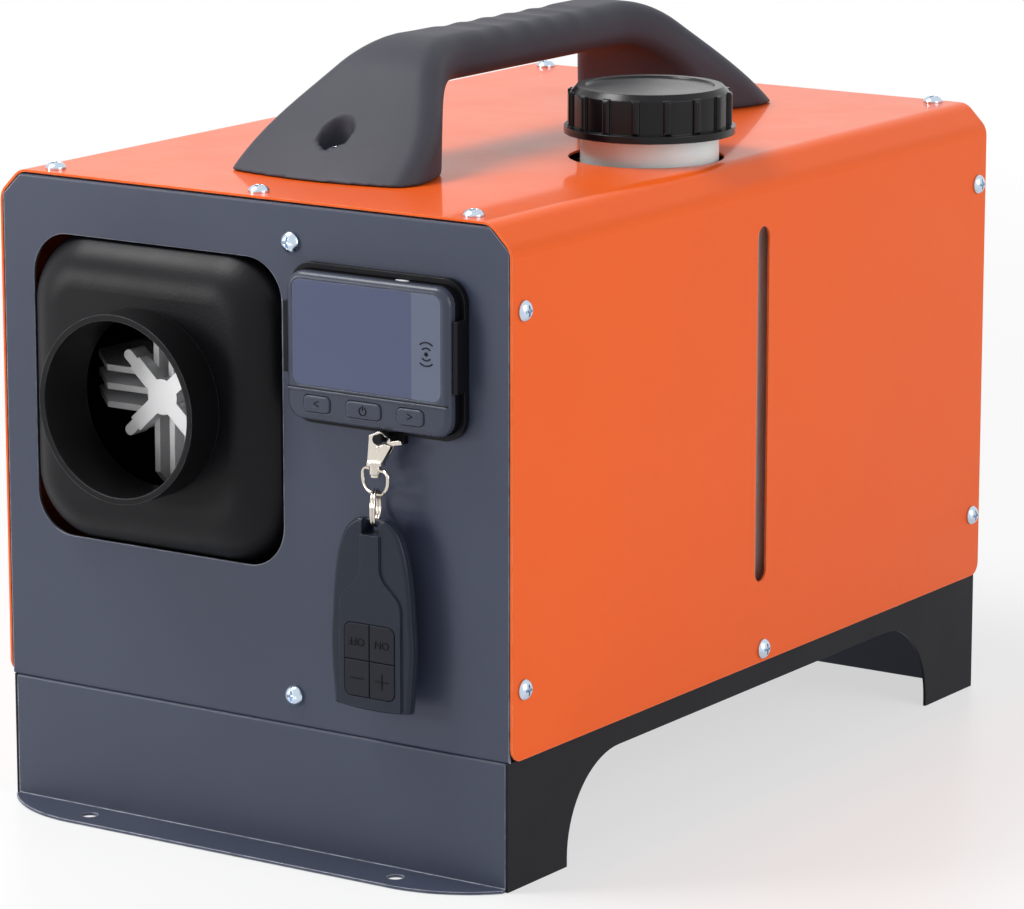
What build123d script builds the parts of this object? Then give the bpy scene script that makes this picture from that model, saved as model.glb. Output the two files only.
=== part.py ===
from build123d import *
from math import radians, sqrt, tan
import os

# A portable diesel air heater: a sheet-metal case with a carrying handle, which holds a
# forced-air heater, its fuel tank and its pump. Millimetres. +X is to the right seen from
# the front, +Y to the back, +Z up. The origin is on the floor, midway between the four
# bolting holes of the base.

# ---------------------------------------------------------------- case
case_length = 366.0        # face of the front panel to face of the rear panel
case_width = 245.0
cover_sheet = 1.0
cover_chamfer = 10.0       # leg of the folded corner
cover_bend = 8.0           # outer radius of its two bends
cover_sill_gap = 0.4       # cover to the floor sheet's top
cover_corner = 5.5
panel_sheet = 1.2
panel_gap = 0.6            # panel edge to the inside of the cover
panel_bend = 1.1
panel_lip = 15.0
window_size = 122.0
window_corner = 17.0

base_sheet = 1.2
base_height = 51.0
base_gap = 1.1             # side plates to the inside of the cover
base_upstand = 15.0        # side plates reach this far above the floor sheet
bolting_flange = 20.0
flange_corner = 55.0
bolt_spacing = 150.0
bolt_setback = 10.0
bolt_hole_radius = 3.3
foot_length = 41.0
arch_web = 10.3            # sheet over the arch
arch_radius = 37.0
floor_hole_clearance = 3.0

screw_shank = 1.95         # thread radius of the case screws
screw_head = 4.1
screw_head_height = 2.6
screw_length = 6.0
screw_fit = 0.05
cover_hole_room = 0.25     # the cover's screw holes are wider, so it can be slid into line
screw_inset = 7.5          # from the ends of the case
top_screw_inset = 22.5     # outer screws on top, from the case's sides
side_screw_drop = 33.5     # upper screws, below the top of the case
side_screw_rise = 28.0     # lower screws, above the base
foot_screw_rise = 6.0      # screws into the side plates, above the base
panel_screw_drop = 16.5
panel_screw_rise = 12.0

divider_room = 7.0         # heater unit to the sheet between it and the tank
divider_drop = 8.5         # below the top of the case
divider_flange = 9.5
panel_screw_inset = 6.5    # panel screws, left of the divider

# ---------------------------------------------------------------- handle
handle_reach = 146.5       # centre to the bowed edge of a foot on the cover
handle_rise = 49.0
handle_lean = 37.5         # slope of the feet, degrees
handle_shoulder = 52.0     # radius between a slope and the grip
handle_opening = 100.0     # half length of the finger gap
finger_room = 30.5         # cover to the underside of the grip
handle_inner_radius = 38.0
handle_grip_width = 32.0
handle_foot_width = 88.0
handle_widest = 134.0      # where the foot is widest, from the centre
handle_waist = 55.0        # where the grip is down to its own width
handle_edge = 8.0
handle_under_edge = 7.0
handle_front = 24.0        # past the reach, below the cover, before it trims the feet
handle_root = 30.0         # depth below the cover that is trimmed off
handle_well = 124.0
well_radius = 7.0
well_floor = 7.0
handle_bolt = 2.95
handle_bolt_head = 5.4
handle_bolt_head_height = 3.6
handle_bolt_length = 20.0
handle_nut_height = 5.0
handle_nut_radius = 5.5

# ---------------------------------------------------------------- fuel tank and cap
tank_wall = 2.5
tank_gap = 1.8             # to the divider
tank_side_gap = 2.7        # to the side plate
tank_end_room = 33.0       # tank to the faces of the case
tank_headroom = 14.5       # to the cover
tank_corner = 12.0
neck_offset = 4.75         # right of the tank's middle
neck_y = -18.0
neck_radius = 27.9
neck_bore = 24.4
neck_rise = 23.0           # above the cover
neck_hole = 31.4
neck_hole_offset = 1.5     # left of the neck
thread_ridge = 29.1
thread_height = 1.5
thread_drops = (3.5, 7.5)  # undersides of the two ridges, below the neck's top
thread_gap = 0.4
cap_height = 18.9
cap_roof_gap = 0.3         # gasket to the cap's roof
cap_radius = 31.9
cap_lip_radius = 34.5
cap_lip_height = 2.9
cap_rib_radius = 33.4
cap_rib_width = 3.4
cap_rib_edge = 1.2
cap_ribs = 16
cap_roof = 3.4
cap_shoulder = 2.4
cap_rib_top = 2.0
cap_dish_radius = 26.0
cap_dish = 0.7
gasket_thickness = 2.2
gasket_outer = 28.6
gasket_bore = 22.5
seal_gap = 0.1
slot_width = 9.0
slot_rise = 34.5           # above the base
slot_drop = 26.5           # below the top of the case
slot_y = -2.0

# ---------------------------------------------------------------- fuel line
hose_radius = 3.5
hose_bore = 2.5
nipple_radius = 2.45
nipple_length = 8.0
hose_turn = 14.0
pickup_turn = 10.0         # the tight bend behind the tank
nipple_bore = 1.3
hose_end = 0.3             # hose end to the shoulder behind a nipple
pickup_flange = 6.0
pickup_flange_sheet = 3.0
pickup_shank = 3.5
pickup_depth = 11.0        # standpipe to the tank's rear wall
strainer_radius = 4.0
strainer_height = 6.0
strainer_gap = 2.0         # above the tank's bottom wall
pickup_straight = 0.7      # hose past the pickup's nipple before it bends
filter_gap = 21.0          # left of the divider
filter_length = 30.0
filter_radius = 9.0
filter_wall = 1.2
pump_setback = 37.0        # from the rear panel
pump_length = 56.0
pump_radius = 14.0
pump_end = 6.0             # length of each end fitting
pump_end_radius = 9.0
plunger_radius = 4.0
plunger_fit = 0.05
plunger_length = 26.0
plunger_travel = 2.0
mount_width = 20.0
mount_wall = 5.0
mount_foot = 30.0

# ---------------------------------------------------------------- heater unit
unit_side_room = 11.5      # unit case to the left side of the cover
unit_headroom = 13.0       # unit case to the cover
unit_width = 130.0
unit_height = 142.0
unit_corner = 26.0
unit_wall = 2.5
hood_front = -9.5          # from the face of the front panel, as all these are
hood_back = 34.0
outlet_radius = 37.5
outlet_wall = 2.5
outlet_reach = 27.0
outlet_plug = 9.0
unit_rear_room = 58.0      # unit case to the face of the rear panel
star_front = 3.0
star_thickness = 9.0
star_span = 24.5
star_arm = 6.6
star_tip = 4.6
star_lean = 42.5
star_hub = 7.2
star_post = 6.6
fin_spacing = 7.4
fin_thickness = 2.6
fin_front = 9.0
fin_upright = 32.0         # front edges stand upright to here, then rake back
fin_inner = 6.0
fin_end = 6.0              # fins stop this far before the core's end
fin_room = 14.5            # fins to the unit case above
side_fin_front = 42.0      # the outer fins start behind the outlet
core_half = 26.0
core_front = 34.0
core_gap = 17.0            # core to the burner's blower box
core_bore = 22.0
burner_radius = 18.0
burner_wall = 1.5
burner_front = 45.0
burner_flange = 26.0
burner_flange_sheet = 2.0
plug_setback = 8.0         # behind the core
plug_radius = 4.0
plug_head = 5.5
plug_length = 26.0
plug_fit = 0.1
plug_sunk = 4.0            # tip inside the burner tube's wall line
plug_head_height = 6.0
housing_depth = 29.0
housing_radius = 50.0
housing_wall = 3.0
motor_radius = 21.0
motor_length = 44.0
motor_terminal = 8.0
shaft_inset = 5.0          # shaft end inside the blower box
shaft_radius = 2.5
shaft_fit = 0.05
fan_room = 6.5             # blade tips to the inside of the unit case
fan_hub = 17.0
fan_setback = 26.0         # front of the fan to the back end of the unit case
fan_gap = 6.0              # motor to fan
fan_depth = 20.0
fan_blades = 9
blade_sheet = 1.6
blade_chord = 22.0
blade_pitch = 40.0
burner_fan_radius = 40.0
burner_fan_disc = 2.0
burner_fan_depth = 14.0
burner_fan_vanes = 12
burner_inlet = 15.0
housing_shaft_hole = 5.0
duct_radius = 14.0         # from the housing down to the foot
duct_bore = 11.0
fuel_tube_offset = 37.0    # left of the heater's axis
fuel_tube_inset = 15.0     # behind the blower box's face
fuel_tube_drop = 15.5      # below the exchanger's foot
fuel_tube_hole = 3.6
foot_plate = 8.0
foot_width = 96.0
foot_reach = 136.0         # length of the exchanger's foot
foot_overhang = 31.0       # past the blower box's face
exhaust_setback = 35.0     # from the foot's front edge
air_inset = 14.0           # behind the blower box's face
exhaust_radius = 12.0
exhaust_leg_wall = 3.0     # casting round the exhaust's bore
air_radius = 12.5
stub_wall = 1.5
stub_bottom = 22.0
stub_shoulder = 49.0       # the pipes are thinner above this height
stub_step = 0.5            # by this much of their radius
bracket_sheet = 1.5
bracket_width = 120.0
bracket_overhang = 8.0
gasket_sheet = 2.6
stand_height = 48.5        # floor sheet to the exchanger's foot
stud_radius = 2.9
stud_x = 40.0
stud_front_inset = 10.0
stud_back_inset = 44.0
stud_below = 15.0
stud_fit = 0.3
heater_nut_height = 5.0
heater_nut_radius = 5.5
nut_fit = 0.05
bracket_foot = 15.0
bracket_clearance = 3.0
stub_fit = 0.05
case_clearance = 1.0       # unit case to the exchanger's foot
foot_step = 3.0            # foot below the unit case
hood_overlap = 2.0         # hood past each edge of the window
hood_corner = 30.0
hood_edge = 21.0
hood_collar = 7.0
plug_wall = 1.5
board_width = 70.0
board_length = 90.0
board_sheet = 1.6
board_drop = 8.0           # below the unit case's roof
board_front = 60.0
board_post = 3.0
board_part_height = 4.0
board_parts = ((-20, -25, 18, 14), (12, -20, 12, 24), (-10, 22, 26, 12), (22, 26, 9, 9))
guard_straight = 21.0      # round part of the intake guard, to the rear panel's face
guard_wall = 2.5
guard_stand = 2.0          # past the rear panel
guard_hub = 10.0
guard_bar = 2.4
guard_depth = 4.0
inlet_x = 76.0
inlet_z = 92.0
inlet_body = 9.0
inlet_flange = 14.0
inlet_flange_sheet = 3.0
inlet_length = 22.0
inlet_contact = 1.8
inlet_spread = 4.0
inlet_fit = 0.2
intake_radius = 53.5
intake_fit = 0.8

# ---------------------------------------------------------------- controller
controller_x = 62.75
controller_drop = 53.8     # centre below the top of the case
controller_width = 75.7
controller_height = 57.4
controller_corner = 7.0
controller_front = 10.0    # ahead of the front panel
controller_split = 6.0
cable_hole = 6.0           # through the front panel behind the controller
cradle_depth = 3.0
cradle_margin = 2.4
cradle_back = 1.2
cradle_fit = 0.2
clip_below = 11.4          # ends of the side clips, from the centre
clip_above = 16.3
clip_sheet = 2.1
clip_reach = 8.0           # ahead of the front panel
ledge_width = 12.0
ledge_depth = 6.0          # below the controller
shell_wall = 1.8
lens_width = 68.8
lens_height = 40.9
lens_offset = (-0.25, 5.45)  # from the controller's centre
lens_sheet = 1.2
lens_gap = 0.15
lens_corner = 3.6
lens_seat = 3.0            # rim that carries the lens
shell_edge = 2.5
key_spacing = 21.7
key_offset = (-1.4, -21.9)
key_width = 12.2
key_power_width = 16.2
key_height = 6.3
key_corner = 2.0
key_rim = 1.0              # retaining rim behind the front wall
key_rim_depth = 1.2
key_proud = 0.7
key_gap = 0.3
key_edge = 0.5

# ---------------------------------------------------------------- hook, rings and fob
# Heights are from the peg that the hook hangs on.
peg_offset = 6.15          # right of the controller's centre
chain_offset = 3.0         # the chain's centre line, left of the peg
chain_y = 9.0              # ahead of the front panel
peg_radius = 1.5
peg_drop = 3.1             # below the controller
peg_end = 11.2             # ahead of the front panel
peg_knob = 1.9
peg_knob_length = 1.2
link_gap = 0.3
jaw_radius = 2.3
jaw_crown = 0.9            # metal over the peg
hook_thickness = 3.2
hook_left = -1.8           # from the chain's centre line
hook_foot_left = -2.6
hook_foot_right = 4.0
hook_right = 8.4
rivet_x = 2.2
rivet_z = -4.0
rivet_radius = 0.9
rivet_fit = 0.06
rivet_head = 0.3           # rivet proud of the hook's sides
lever_tongue = 1.2
lever_eye = 1.5
lever_gap = 0.3
thumb_reach = 12.6
thumb_z = -1.0
collar_z = -10.6
collar_height = 1.4
collar_radius = 3.9
post_radius = 1.1
post_fit = 0.06
head_radius = 1.9
head_height = 1.0
barrel_radius = 2.4
barrel_height = 3.2
ring_wire = 0.75
swivel_half_width = 7.6
swivel_bottom = -21.9
swivel_bend = 2.45
swivel_bow = 6.0           # radius of the two lower corners
swivel_turn = -16.0
split_wire = 0.55
split_pitch = 1.1          # centre to centre of the two coils
split_inner = 6.375
split_turn = 25.0
fob_top = -31.3
fob_bottom = -105.6
fob_bulge = 1.2            # the bottom edge bows down by this much
fob_top_half = 6.3
fob_shoulder_half = 14.85
fob_shoulder_z = -42.4
fob_half_width = 18.6
fob_widest_z = -70.9
fob_bottom_half = 17.4
fob_back = 4.2             # ahead of the front panel
fob_split = 10.0
fob_front = 12.6
fob_edge = 1.6
fob_taper = 4.5            # bevel round the back
fob_pin = 0.8
fob_pin_z = -32.5
notch_width = 8.4
notch_floor = -37.4
strip_low = 14.1
strip_high = 4.3
strip_flare_low = -66.1
strip_flare_high = -49.8
strip_proud = 0.9
pad_width = 23.2
pad_height = 28.6
pad_low = -101.0
pad_corner = 3.0
pad_gap = 0.35
pad_proud = 0.3
pad_travel = 0.4
pad_depth = 3.2
pad_edge = 0.3

# ---------------------------------------------------------------- derived places
front = -case_length / 2
back = case_length / 2
cover_inside = case_width / 2 - cover_sheet
panel_half = cover_inside - panel_gap
side_plate_face = cover_inside - base_gap

unit_lift = base_height + stand_height
heater_x = unit_side_room + unit_width / 2 - cover_inside
heater_z = unit_lift + foot_step + unit_height / 2
case_top = heater_z + unit_height / 2 + unit_headroom + cover_sheet
panel_top = case_top - cover_sheet - panel_gap
cover_bottom = base_height + cover_sill_gap
handle_top = case_top + handle_rise
handle_grip_under = case_top + finger_room
bracket_top = unit_lift - gasket_sheet
foot_top = unit_lift + foot_plate

divider_x = heater_x + unit_width / 2 + divider_room
tank_left = divider_x + panel_sheet + tank_gap
tank_right = side_plate_face - base_sheet - tank_side_gap
tank_middle = (tank_left + tank_right) / 2
tank_length = case_length - 2 * tank_end_room
tank_top = case_top - cover_sheet - tank_headroom
neck_x = tank_middle + neck_offset
neck_top = case_top + neck_rise
gasket_z = neck_top + seal_gap
cap_roof_z = gasket_z + gasket_thickness + cap_roof_gap
cap_top = cap_roof_z + cap_roof
cap_bottom = cap_top - cap_height
slot_low = base_height + slot_rise
slot_high = case_top - slot_drop

# From the face of the front panel, back to front along the heater's axis.
unit_back = case_length - unit_rear_room
guard_throat = case_length - guard_straight
fan_front = unit_back - fan_setback
housing_front = fan_front - fan_gap - motor_length - housing_depth
core_back = housing_front - core_gap
fin_back = core_back - fin_end
foot_back = housing_front + foot_overhang
foot_front = foot_back - foot_reach
fin_reach = unit_height / 2 - unit_wall - fin_room
fan_radius = min(unit_width, unit_height) / 2 - unit_wall - fan_room
hood_size = window_size + 2 * hood_overlap
board_z = heater_z + unit_height / 2 - unit_wall - board_drop
exhaust_y = front + foot_front + exhaust_setback
air_y = front + housing_front + air_inset
fuel_tube_x = heater_x - fuel_tube_offset
fuel_tube_y = front + housing_front + fuel_tube_inset
fuel_tube_bottom = unit_lift - fuel_tube_drop

line_z = base_height + pump_radius + mount_wall
pickup_shoulder = tank_length / 2 + pickup_flange_sheet
line_y = pickup_shoulder + hose_end + nipple_length + pickup_straight + pickup_turn
filter_x = divider_x - filter_gap
pump_x = fuel_tube_x
pump_back = back - pump_setback
plunger_start = pump_back - (pump_length + plunger_length) / 2

controller_z = case_top - controller_drop
controller_low = controller_z - controller_height / 2
lens_x = controller_x + lens_offset[0]
lens_z = controller_z + lens_offset[1]
key_x = controller_x + key_offset[0]
key_z = controller_z + key_offset[1]
peg_x = controller_x + peg_offset
chain_x = peg_x - chain_offset
chain_plane = front - chain_y
peg_z = controller_low - peg_drop
jaw_z = peg_radius + link_gap - jaw_radius
barrel_top = collar_z - link_gap
split_centre = swivel_bottom + ring_wire + link_gap - split_inner


# ---------------------------------------------------------------- small helpers
def block(x, y, z):
    """A box between two values on each axis."""
    centre = Pos((x[0] + x[1]) / 2, (y[0] + y[1]) / 2, (z[0] + z[1]) / 2)
    return centre * Box(x[1] - x[0], y[1] - y[0], z[1] - z[0])


def rod(radius, start, end):
    """A round bar from one point to another."""
    axis = Vector(*end) - Vector(*start)
    at_start = Plane(origin=start, z_dir=axis)
    return at_start * Cylinder(radius, axis.length, align=(Align.CENTER, Align.CENTER, Align.MIN))


def pipe(outer, inner, start, end):
    return rod(outer, start, end) - rod(inner, start, end)


def from_front(sketch, y, depth):
    """A front-view sketch (x, z) pushed back from y."""
    return extrude(Plane.XZ.offset(-y) * sketch, -depth)


def from_left(sketch, x, depth):
    """A side-view sketch (y, z) pushed to the right from x."""
    return extrude(Plane.YZ.offset(x) * sketch, depth)


def from_below(sketch, z, height):
    """A plan sketch (x, y) pushed up from z."""
    return extrude(Plane.XY.offset(z) * sketch, height)


def rounded(width, height, corner, centre):
    return Pos(*centre) * RectangleRounded(width, height, corner)


def folded_outline(half, top, bottom, chamfer):
    points = [(-half, bottom), (-half, top - chamfer), (chamfer - half, top),
              (half - chamfer, top), (half, top - chamfer), (half, bottom)]
    return make_face(Polyline(*points, close=True))


def bend_corners(outline, bottom, radius):
    return fillet([v for v in outline.vertices() if v.Y > bottom + radius], radius)


def group(pieces):
    """Separate solids of one kind kept together."""
    return Compound(children=[piece if isinstance(piece, Solid) else piece.solid() for piece in pieces])


def bar_x(radius, y, z, start, end):
    return rod(radius, (start, y, z), (end, y, z))


def bar_y(radius, x, z, start, end):
    return rod(radius, (x, start, z), (x, end, z))


def bar_z(radius, x, y, start, end):
    return rod(radius, (x, y, start), (x, y, end))


# ---------------------------------------------------------------- fasteners
def pan_screw(length, shank=screw_shank, head=screw_head, height=screw_head_height):
    """Pan-head screw with a cross recess, head above z = 0 and thread below."""
    rim = height * 0.35
    profile = make_face([Line((0, 0), (head, 0)), Line((head, 0), (head, rim)),
                         ThreePointArc((head, rim), (head * 0.72, height * 0.86), (0, height)),
                         Line((0, height), (0, 0))])
    body = revolve(Plane.XZ * profile, Axis.Z) + rod(shank, (0, 0, -length), (0, 0, 0))
    slot = Box(head * 1.1, head * 0.26, height)
    cross = slot + Rot(0, 0, 90) * slot
    return (body - Pos(0, 0, height) * cross).solid()


def cover_screw_places():
    """Every screw through the cover: a location whose z points out of the sheet."""
    places = []
    spread = case_width / 2 - top_screw_inset
    for y in (front + screw_inset, back - screw_inset):
        for x in (-spread, 0, spread):
            places.append(Location((x, y, case_top)))
    for side, turn in ((-1, -90), (1, 90)):
        spots = [(y, z) for y in (front + screw_inset, back - screw_inset)
                 for z in (base_height + side_screw_rise, case_top - side_screw_drop)]
        for y, z in spots + [(0, base_height + foot_screw_rise)]:
            places.append(Location((side * case_width / 2, y, z), (0, turn, 0)))
    return places


def panel_screw_places():
    """The screws that hold the divider to the front and the rear panel."""
    x = divider_x - panel_screw_inset
    return [Location((x, y, z), (turn, 0, 0)) for y, turn in ((front, 90), (back, -90))
            for z in (base_height + panel_screw_rise, case_top - panel_screw_drop)]


def clearance_holes(places, radius):
    return [place * Cylinder(radius, 2 * screw_length) for place in places]


def cover_screws():
    return group([place * pan_screw(screw_length) for place in cover_screw_places()])


def panel_screws():
    return group([place * pan_screw(screw_length) for place in panel_screw_places()])


# ---------------------------------------------------------------- sheet metal
def cover():
    lean = (2 - sqrt(2)) * cover_sheet
    outer = bend_corners(folded_outline(case_width / 2, case_top, cover_bottom, cover_chamfer),
                         cover_bottom, cover_bend)
    inner = folded_outline(cover_inside, case_top - cover_sheet, cover_bottom - 1, cover_chamfer - lean)
    inner = bend_corners(inner, cover_bottom, cover_bend - cover_sheet)
    shell = from_front(outer - inner, front, case_length)
    ends = shell.edges().filter_by(Axis.X).group_by(Axis.Z)[0]
    shell = fillet(ends, cover_corner)
    sight_slot = SlotOverall(slot_high - slot_low, slot_width, rotation=90)
    sight_slot = Pos(slot_y, (slot_high + slot_low) / 2) * sight_slot
    shell -= from_left(sight_slot, cover_inside - 1, cover_sheet + 2)
    shell -= bar_z(neck_hole, neck_x - neck_hole_offset, neck_y, case_top - 5, case_top + 5)
    for side in (-1, 1):
        shell -= Pos(0, side * handle_well, case_top) * Cylinder(handle_bolt + screw_fit, 5)
    for hole in clearance_holes(cover_screw_places(), screw_shank + cover_hole_room):
        shell -= hole
    return shell


def panel_blank():
    """The front panel before its openings: plate, top lip, side lips and foot lip."""
    lean = (2 - sqrt(2)) * (cover_sheet + panel_gap)
    chamfer = cover_chamfer - lean
    plate = from_front(folded_outline(panel_half, panel_top, base_height, chamfer), front, panel_sheet)
    straight = panel_half - chamfer
    depth = (front, front + panel_lip)
    lip_low = base_height + base_upstand + 2
    plate += block((-straight, straight), depth, (panel_top - panel_sheet, panel_top))
    plate += block((-straight, straight), depth, (base_height, base_height + panel_sheet))
    for side in (-1, 1):
        across = sorted((side * panel_half, side * (panel_half - panel_sheet)))
        plate += block(across, depth, (lip_low, panel_top - chamfer))
    edges = plate.edges().group_by(Axis.Y)[0]
    bends = [e for e in edges.filter_by(Axis.X) if e.length > panel_half]
    return fillet(bends, panel_bend)


def pierced(blank, sheet_places):
    for hole in clearance_holes(sheet_places, screw_shank + screw_fit):
        blank -= hole
    return blank


def front_panel():
    window = rounded(window_size, window_size, window_corner, (heater_x, heater_z))
    panel = panel_blank() - from_front(window, front - 1, panel_sheet + 2)
    panel -= bar_y(cable_hole, controller_x, controller_z, front - 1, front + panel_sheet + 1)
    return pierced(panel, cover_screw_places() + panel_screw_places())


def rear_panel():
    panel = mirror(panel_blank(), Plane.XZ)
    depth = (back - panel_sheet - 1, back + 1)
    panel -= bar_y(intake_radius + intake_fit, heater_x, heater_z, *depth)
    panel -= bar_y(inlet_body + inlet_fit, inlet_x, inlet_z, *depth)
    return pierced(panel, cover_screw_places() + panel_screw_places())


def flange_plan():
    """One bolting flange in plan, at the front, with its rounded ends."""
    half = side_plate_face - base_sheet
    outer = front - bolting_flange
    straight = half - sqrt(flange_corner ** 2 - (flange_corner - bolting_flange + 2) ** 2)
    end = (half, front - 2)
    side = (half + straight) / 2
    bulge = outer + flange_corner - sqrt(flange_corner ** 2 - (side - straight) ** 2)
    lines = [Line((-straight, outer), (straight, outer)),
             ThreePointArc((straight, outer), (side, bulge), end),
             Polyline(end, (half, front + 1), (-half, front + 1), (-half, front - 2)),
             ThreePointArc((-half, front - 2), (-side, bulge), (-straight, outer))]
    plan = make_face(lines)
    for x in (-bolt_spacing / 2, bolt_spacing / 2):
        plan -= Pos(x, front - bolt_setback) * Circle(bolt_hole_radius)
    return plan


def base_channel():
    """Front wall, floor and rear wall of one sheet, with the bolting flanges turned out."""
    half = side_plate_face - base_sheet
    section = Rectangle(case_length, base_height, align=(Align.CENTER, Align.MIN))
    section -= Rectangle(case_length - 2 * base_sheet, base_height - base_sheet,
                         align=(Align.CENTER, Align.MIN))
    sheet = from_left(section, -half, 2 * half)
    upper = sheet.edges().filter_by(Axis.X).group_by(Axis.Z)[-1]
    sheet = fillet(upper, panel_bend)
    flange = from_below(flange_plan(), 0, base_sheet)
    sheet = sheet + flange + mirror(flange, Plane.XZ)
    for y, radius in ((exhaust_y, exhaust_radius), (air_y, air_radius)):
        sheet -= Pos(heater_x, y, base_height) * Cylinder(radius + floor_hole_clearance, 10)
    return sheet


def base_side(side):
    """Side plate with two feet, the arch between them and a lip under the floor sheet."""
    opening = case_length - 2 * foot_length
    plate = Pos(0, base_height / 2) * Rectangle(case_length, base_height)
    inset = case_length - 2 * panel_lip
    plate += Pos(0, base_height + base_upstand / 2) * Rectangle(inset, base_upstand)
    arch = Rectangle(opening, base_height - arch_web, align=(Align.CENTER, Align.MIN))
    plate -= fillet(arch.vertices().group_by(Axis.Y)[-1], arch_radius)
    outside = side * side_plate_face
    body = from_left(plate, min(outside, outside - side * base_sheet), base_sheet)
    lip = sorted((outside, side * (side_plate_face - panel_lip)))
    lip_z = base_height - base_sheet
    body += block(lip, (-opening / 2, opening / 2), (lip_z - base_sheet, lip_z))
    edge = Location((outside, 0, base_height + foot_screw_rise), (0, side * 90, 0))
    return body - edge * Cylinder(screw_shank + screw_fit, 2 * screw_length)


def divider_plate():
    """Upright sheet between heater and tank, flanged to both panels and to the floor."""
    inside = (front + panel_sheet, back - panel_sheet)
    top = case_top - divider_drop
    sheet = block((divider_x, divider_x + panel_sheet), inside, (base_height, top))
    left = (divider_x - divider_flange, divider_x + panel_sheet)
    low = base_height + panel_sheet
    for y in (inside[0], inside[1] - panel_sheet):
        sheet += block(left, (y, y + panel_sheet), (low, top))
    floor = (left[0] + 3, left[1]), (front + panel_lip + 2, back - panel_lip - 2)
    sheet += block(*floor, (base_height, low))
    for y in (front, back):
        inward = sorted((y, y - y / abs(y) * (panel_lip + 1)))
        sheet -= block((floor[0][0], floor[0][1] + 1), inward, (base_height - 1, low))
    sheet -= rod(hose_radius + 1.5, (divider_x - 5, line_y, line_z), (divider_x + 5, line_y, line_z))
    return pierced(sheet, panel_screw_places())


# ---------------------------------------------------------------- handle
def handle_dome():
    """Turned shape that gives the sloping feet their bowed front edges."""
    lean = tan(radians(handle_lean))
    peak = handle_reach - handle_rise / lean
    rim = handle_reach + handle_root / lean
    profile = make_face(Polyline((0, -handle_root), (rim, -handle_root), (peak, handle_rise),
                                 (0, handle_rise), close=True))
    shoulder = profile.vertices().sort_by(Axis.X)[-2]
    profile = fillet(shoulder, handle_shoulder)
    return Pos(0, 0, case_top) * revolve(Plane.XZ * profile, Axis.Z)


def handle_plan():
    """The handle from above, a straight grip that widens towards each foot."""
    grip = handle_grip_width / 2
    foot = handle_foot_width / 2
    end = handle_reach + handle_front
    flare = Spline((grip, handle_waist), (foot, handle_widest), tangents=((0, 1), (0, 1)))
    side = [Line((grip, 0), (grip, handle_waist)), flare, Line((foot, handle_widest), (foot, end))]
    edges = side + [mirror(e, Plane.YZ) for e in side]
    edges += [mirror(e, Plane.XZ) for e in edges]
    edges += [Line((-foot, y), (foot, y)) for y in (-end, end)]
    return make_face(edges)


def finger_gap():
    """The gap under the grip in side view, an arch that is widest below the cover."""
    low = case_top - handle_inner_radius
    gap = Pos(0, low) * Rectangle(2 * handle_opening, handle_grip_under - low,
                                  align=(Align.CENTER, Align.MIN))
    return fillet(gap.vertices().group_by(Axis.Y)[-1], handle_inner_radius)


def handle():
    """Moulded carrying handle with a bolt well in each foot."""
    wide = handle_foot_width
    body = extrude(Pos(0, 0, case_top - handle_root) * handle_plan(), handle_root + handle_rise + wide)
    body &= handle_dome()
    body = fillet([e for e in body.edges() if on_handle_top(e)], handle_edge)
    body &= block((-wide, wide), (front, back), (case_top, handle_top))
    body -= from_left(finger_gap(), -wide, 2 * wide)
    arch = [e for e in body.edges() if in_finger_gap(e)]
    body = fillet(arch, handle_under_edge)
    for y in (-handle_well, handle_well):
        body -= bar_z(well_radius, 0, y, case_top + well_floor, handle_top)
        body -= bar_z(handle_bolt + screw_fit, 0, y, case_top - 1, handle_top)
    return body


def on_handle_top(edge):
    """Edges between the top of the handle and its sides."""
    middle = edge.center()
    return middle.Z > case_top - handle_root + 1 and abs(middle.X) > handle_grip_width / 2 - 1


def in_finger_gap(edge):
    """Edges of the arch between the gap and the handle's sides."""
    middle = edge.center()
    inside = case_top + 0.5 < middle.Z < handle_grip_under + 0.5 and abs(middle.Y) < handle_opening
    return inside and abs(middle.X) > 1


def handle_screws():
    bolt = pan_screw(handle_bolt_length, handle_bolt, handle_bolt_head, handle_bolt_head_height)
    return group([Pos(0, y, case_top + well_floor) * bolt for y in (-handle_well, handle_well)])


def hex_nut(radius, height, bore):
    """Nut standing on z = 0."""
    return from_below(RegularPolygon(radius, 6) - Circle(bore), 0, height)


def handle_nuts():
    nut = hex_nut(handle_nut_radius, handle_nut_height, handle_bolt + nut_fit)
    z = case_top - cover_sheet - handle_nut_height
    return group([Pos(0, y, z) * nut for y in (-handle_well, handle_well)])


# ---------------------------------------------------------------- fuel tank and cap
def fuel_tank():
    """Blown tank with a threaded neck, open at the neck and where its pickup enters."""
    across = tank_right - tank_left
    high = tank_top - base_height
    centre = Pos(tank_middle, 0, base_height + high / 2)
    outer = fillet(Box(across, tank_length, high).edges(), tank_corner)
    twice = 2 * tank_wall
    hollow = fillet(Box(across - twice, tank_length - twice, high - twice).edges(),
                    tank_corner - tank_wall)
    body = centre * outer + bar_z(neck_radius, neck_x, neck_y, tank_top - tank_wall, neck_top)
    for drop in thread_drops:
        z = neck_top - drop
        body += bar_z(thread_ridge, neck_x, neck_y, z, z + thread_height)
    body -= centre * hollow
    body -= bar_z(neck_bore, neck_x, neck_y, tank_top - tank_wall - 5, neck_top + 1)
    rear = tank_length / 2
    return body - bar_y(pickup_shank + stub_fit, tank_middle, line_z, rear - 5, rear + 5)


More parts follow.
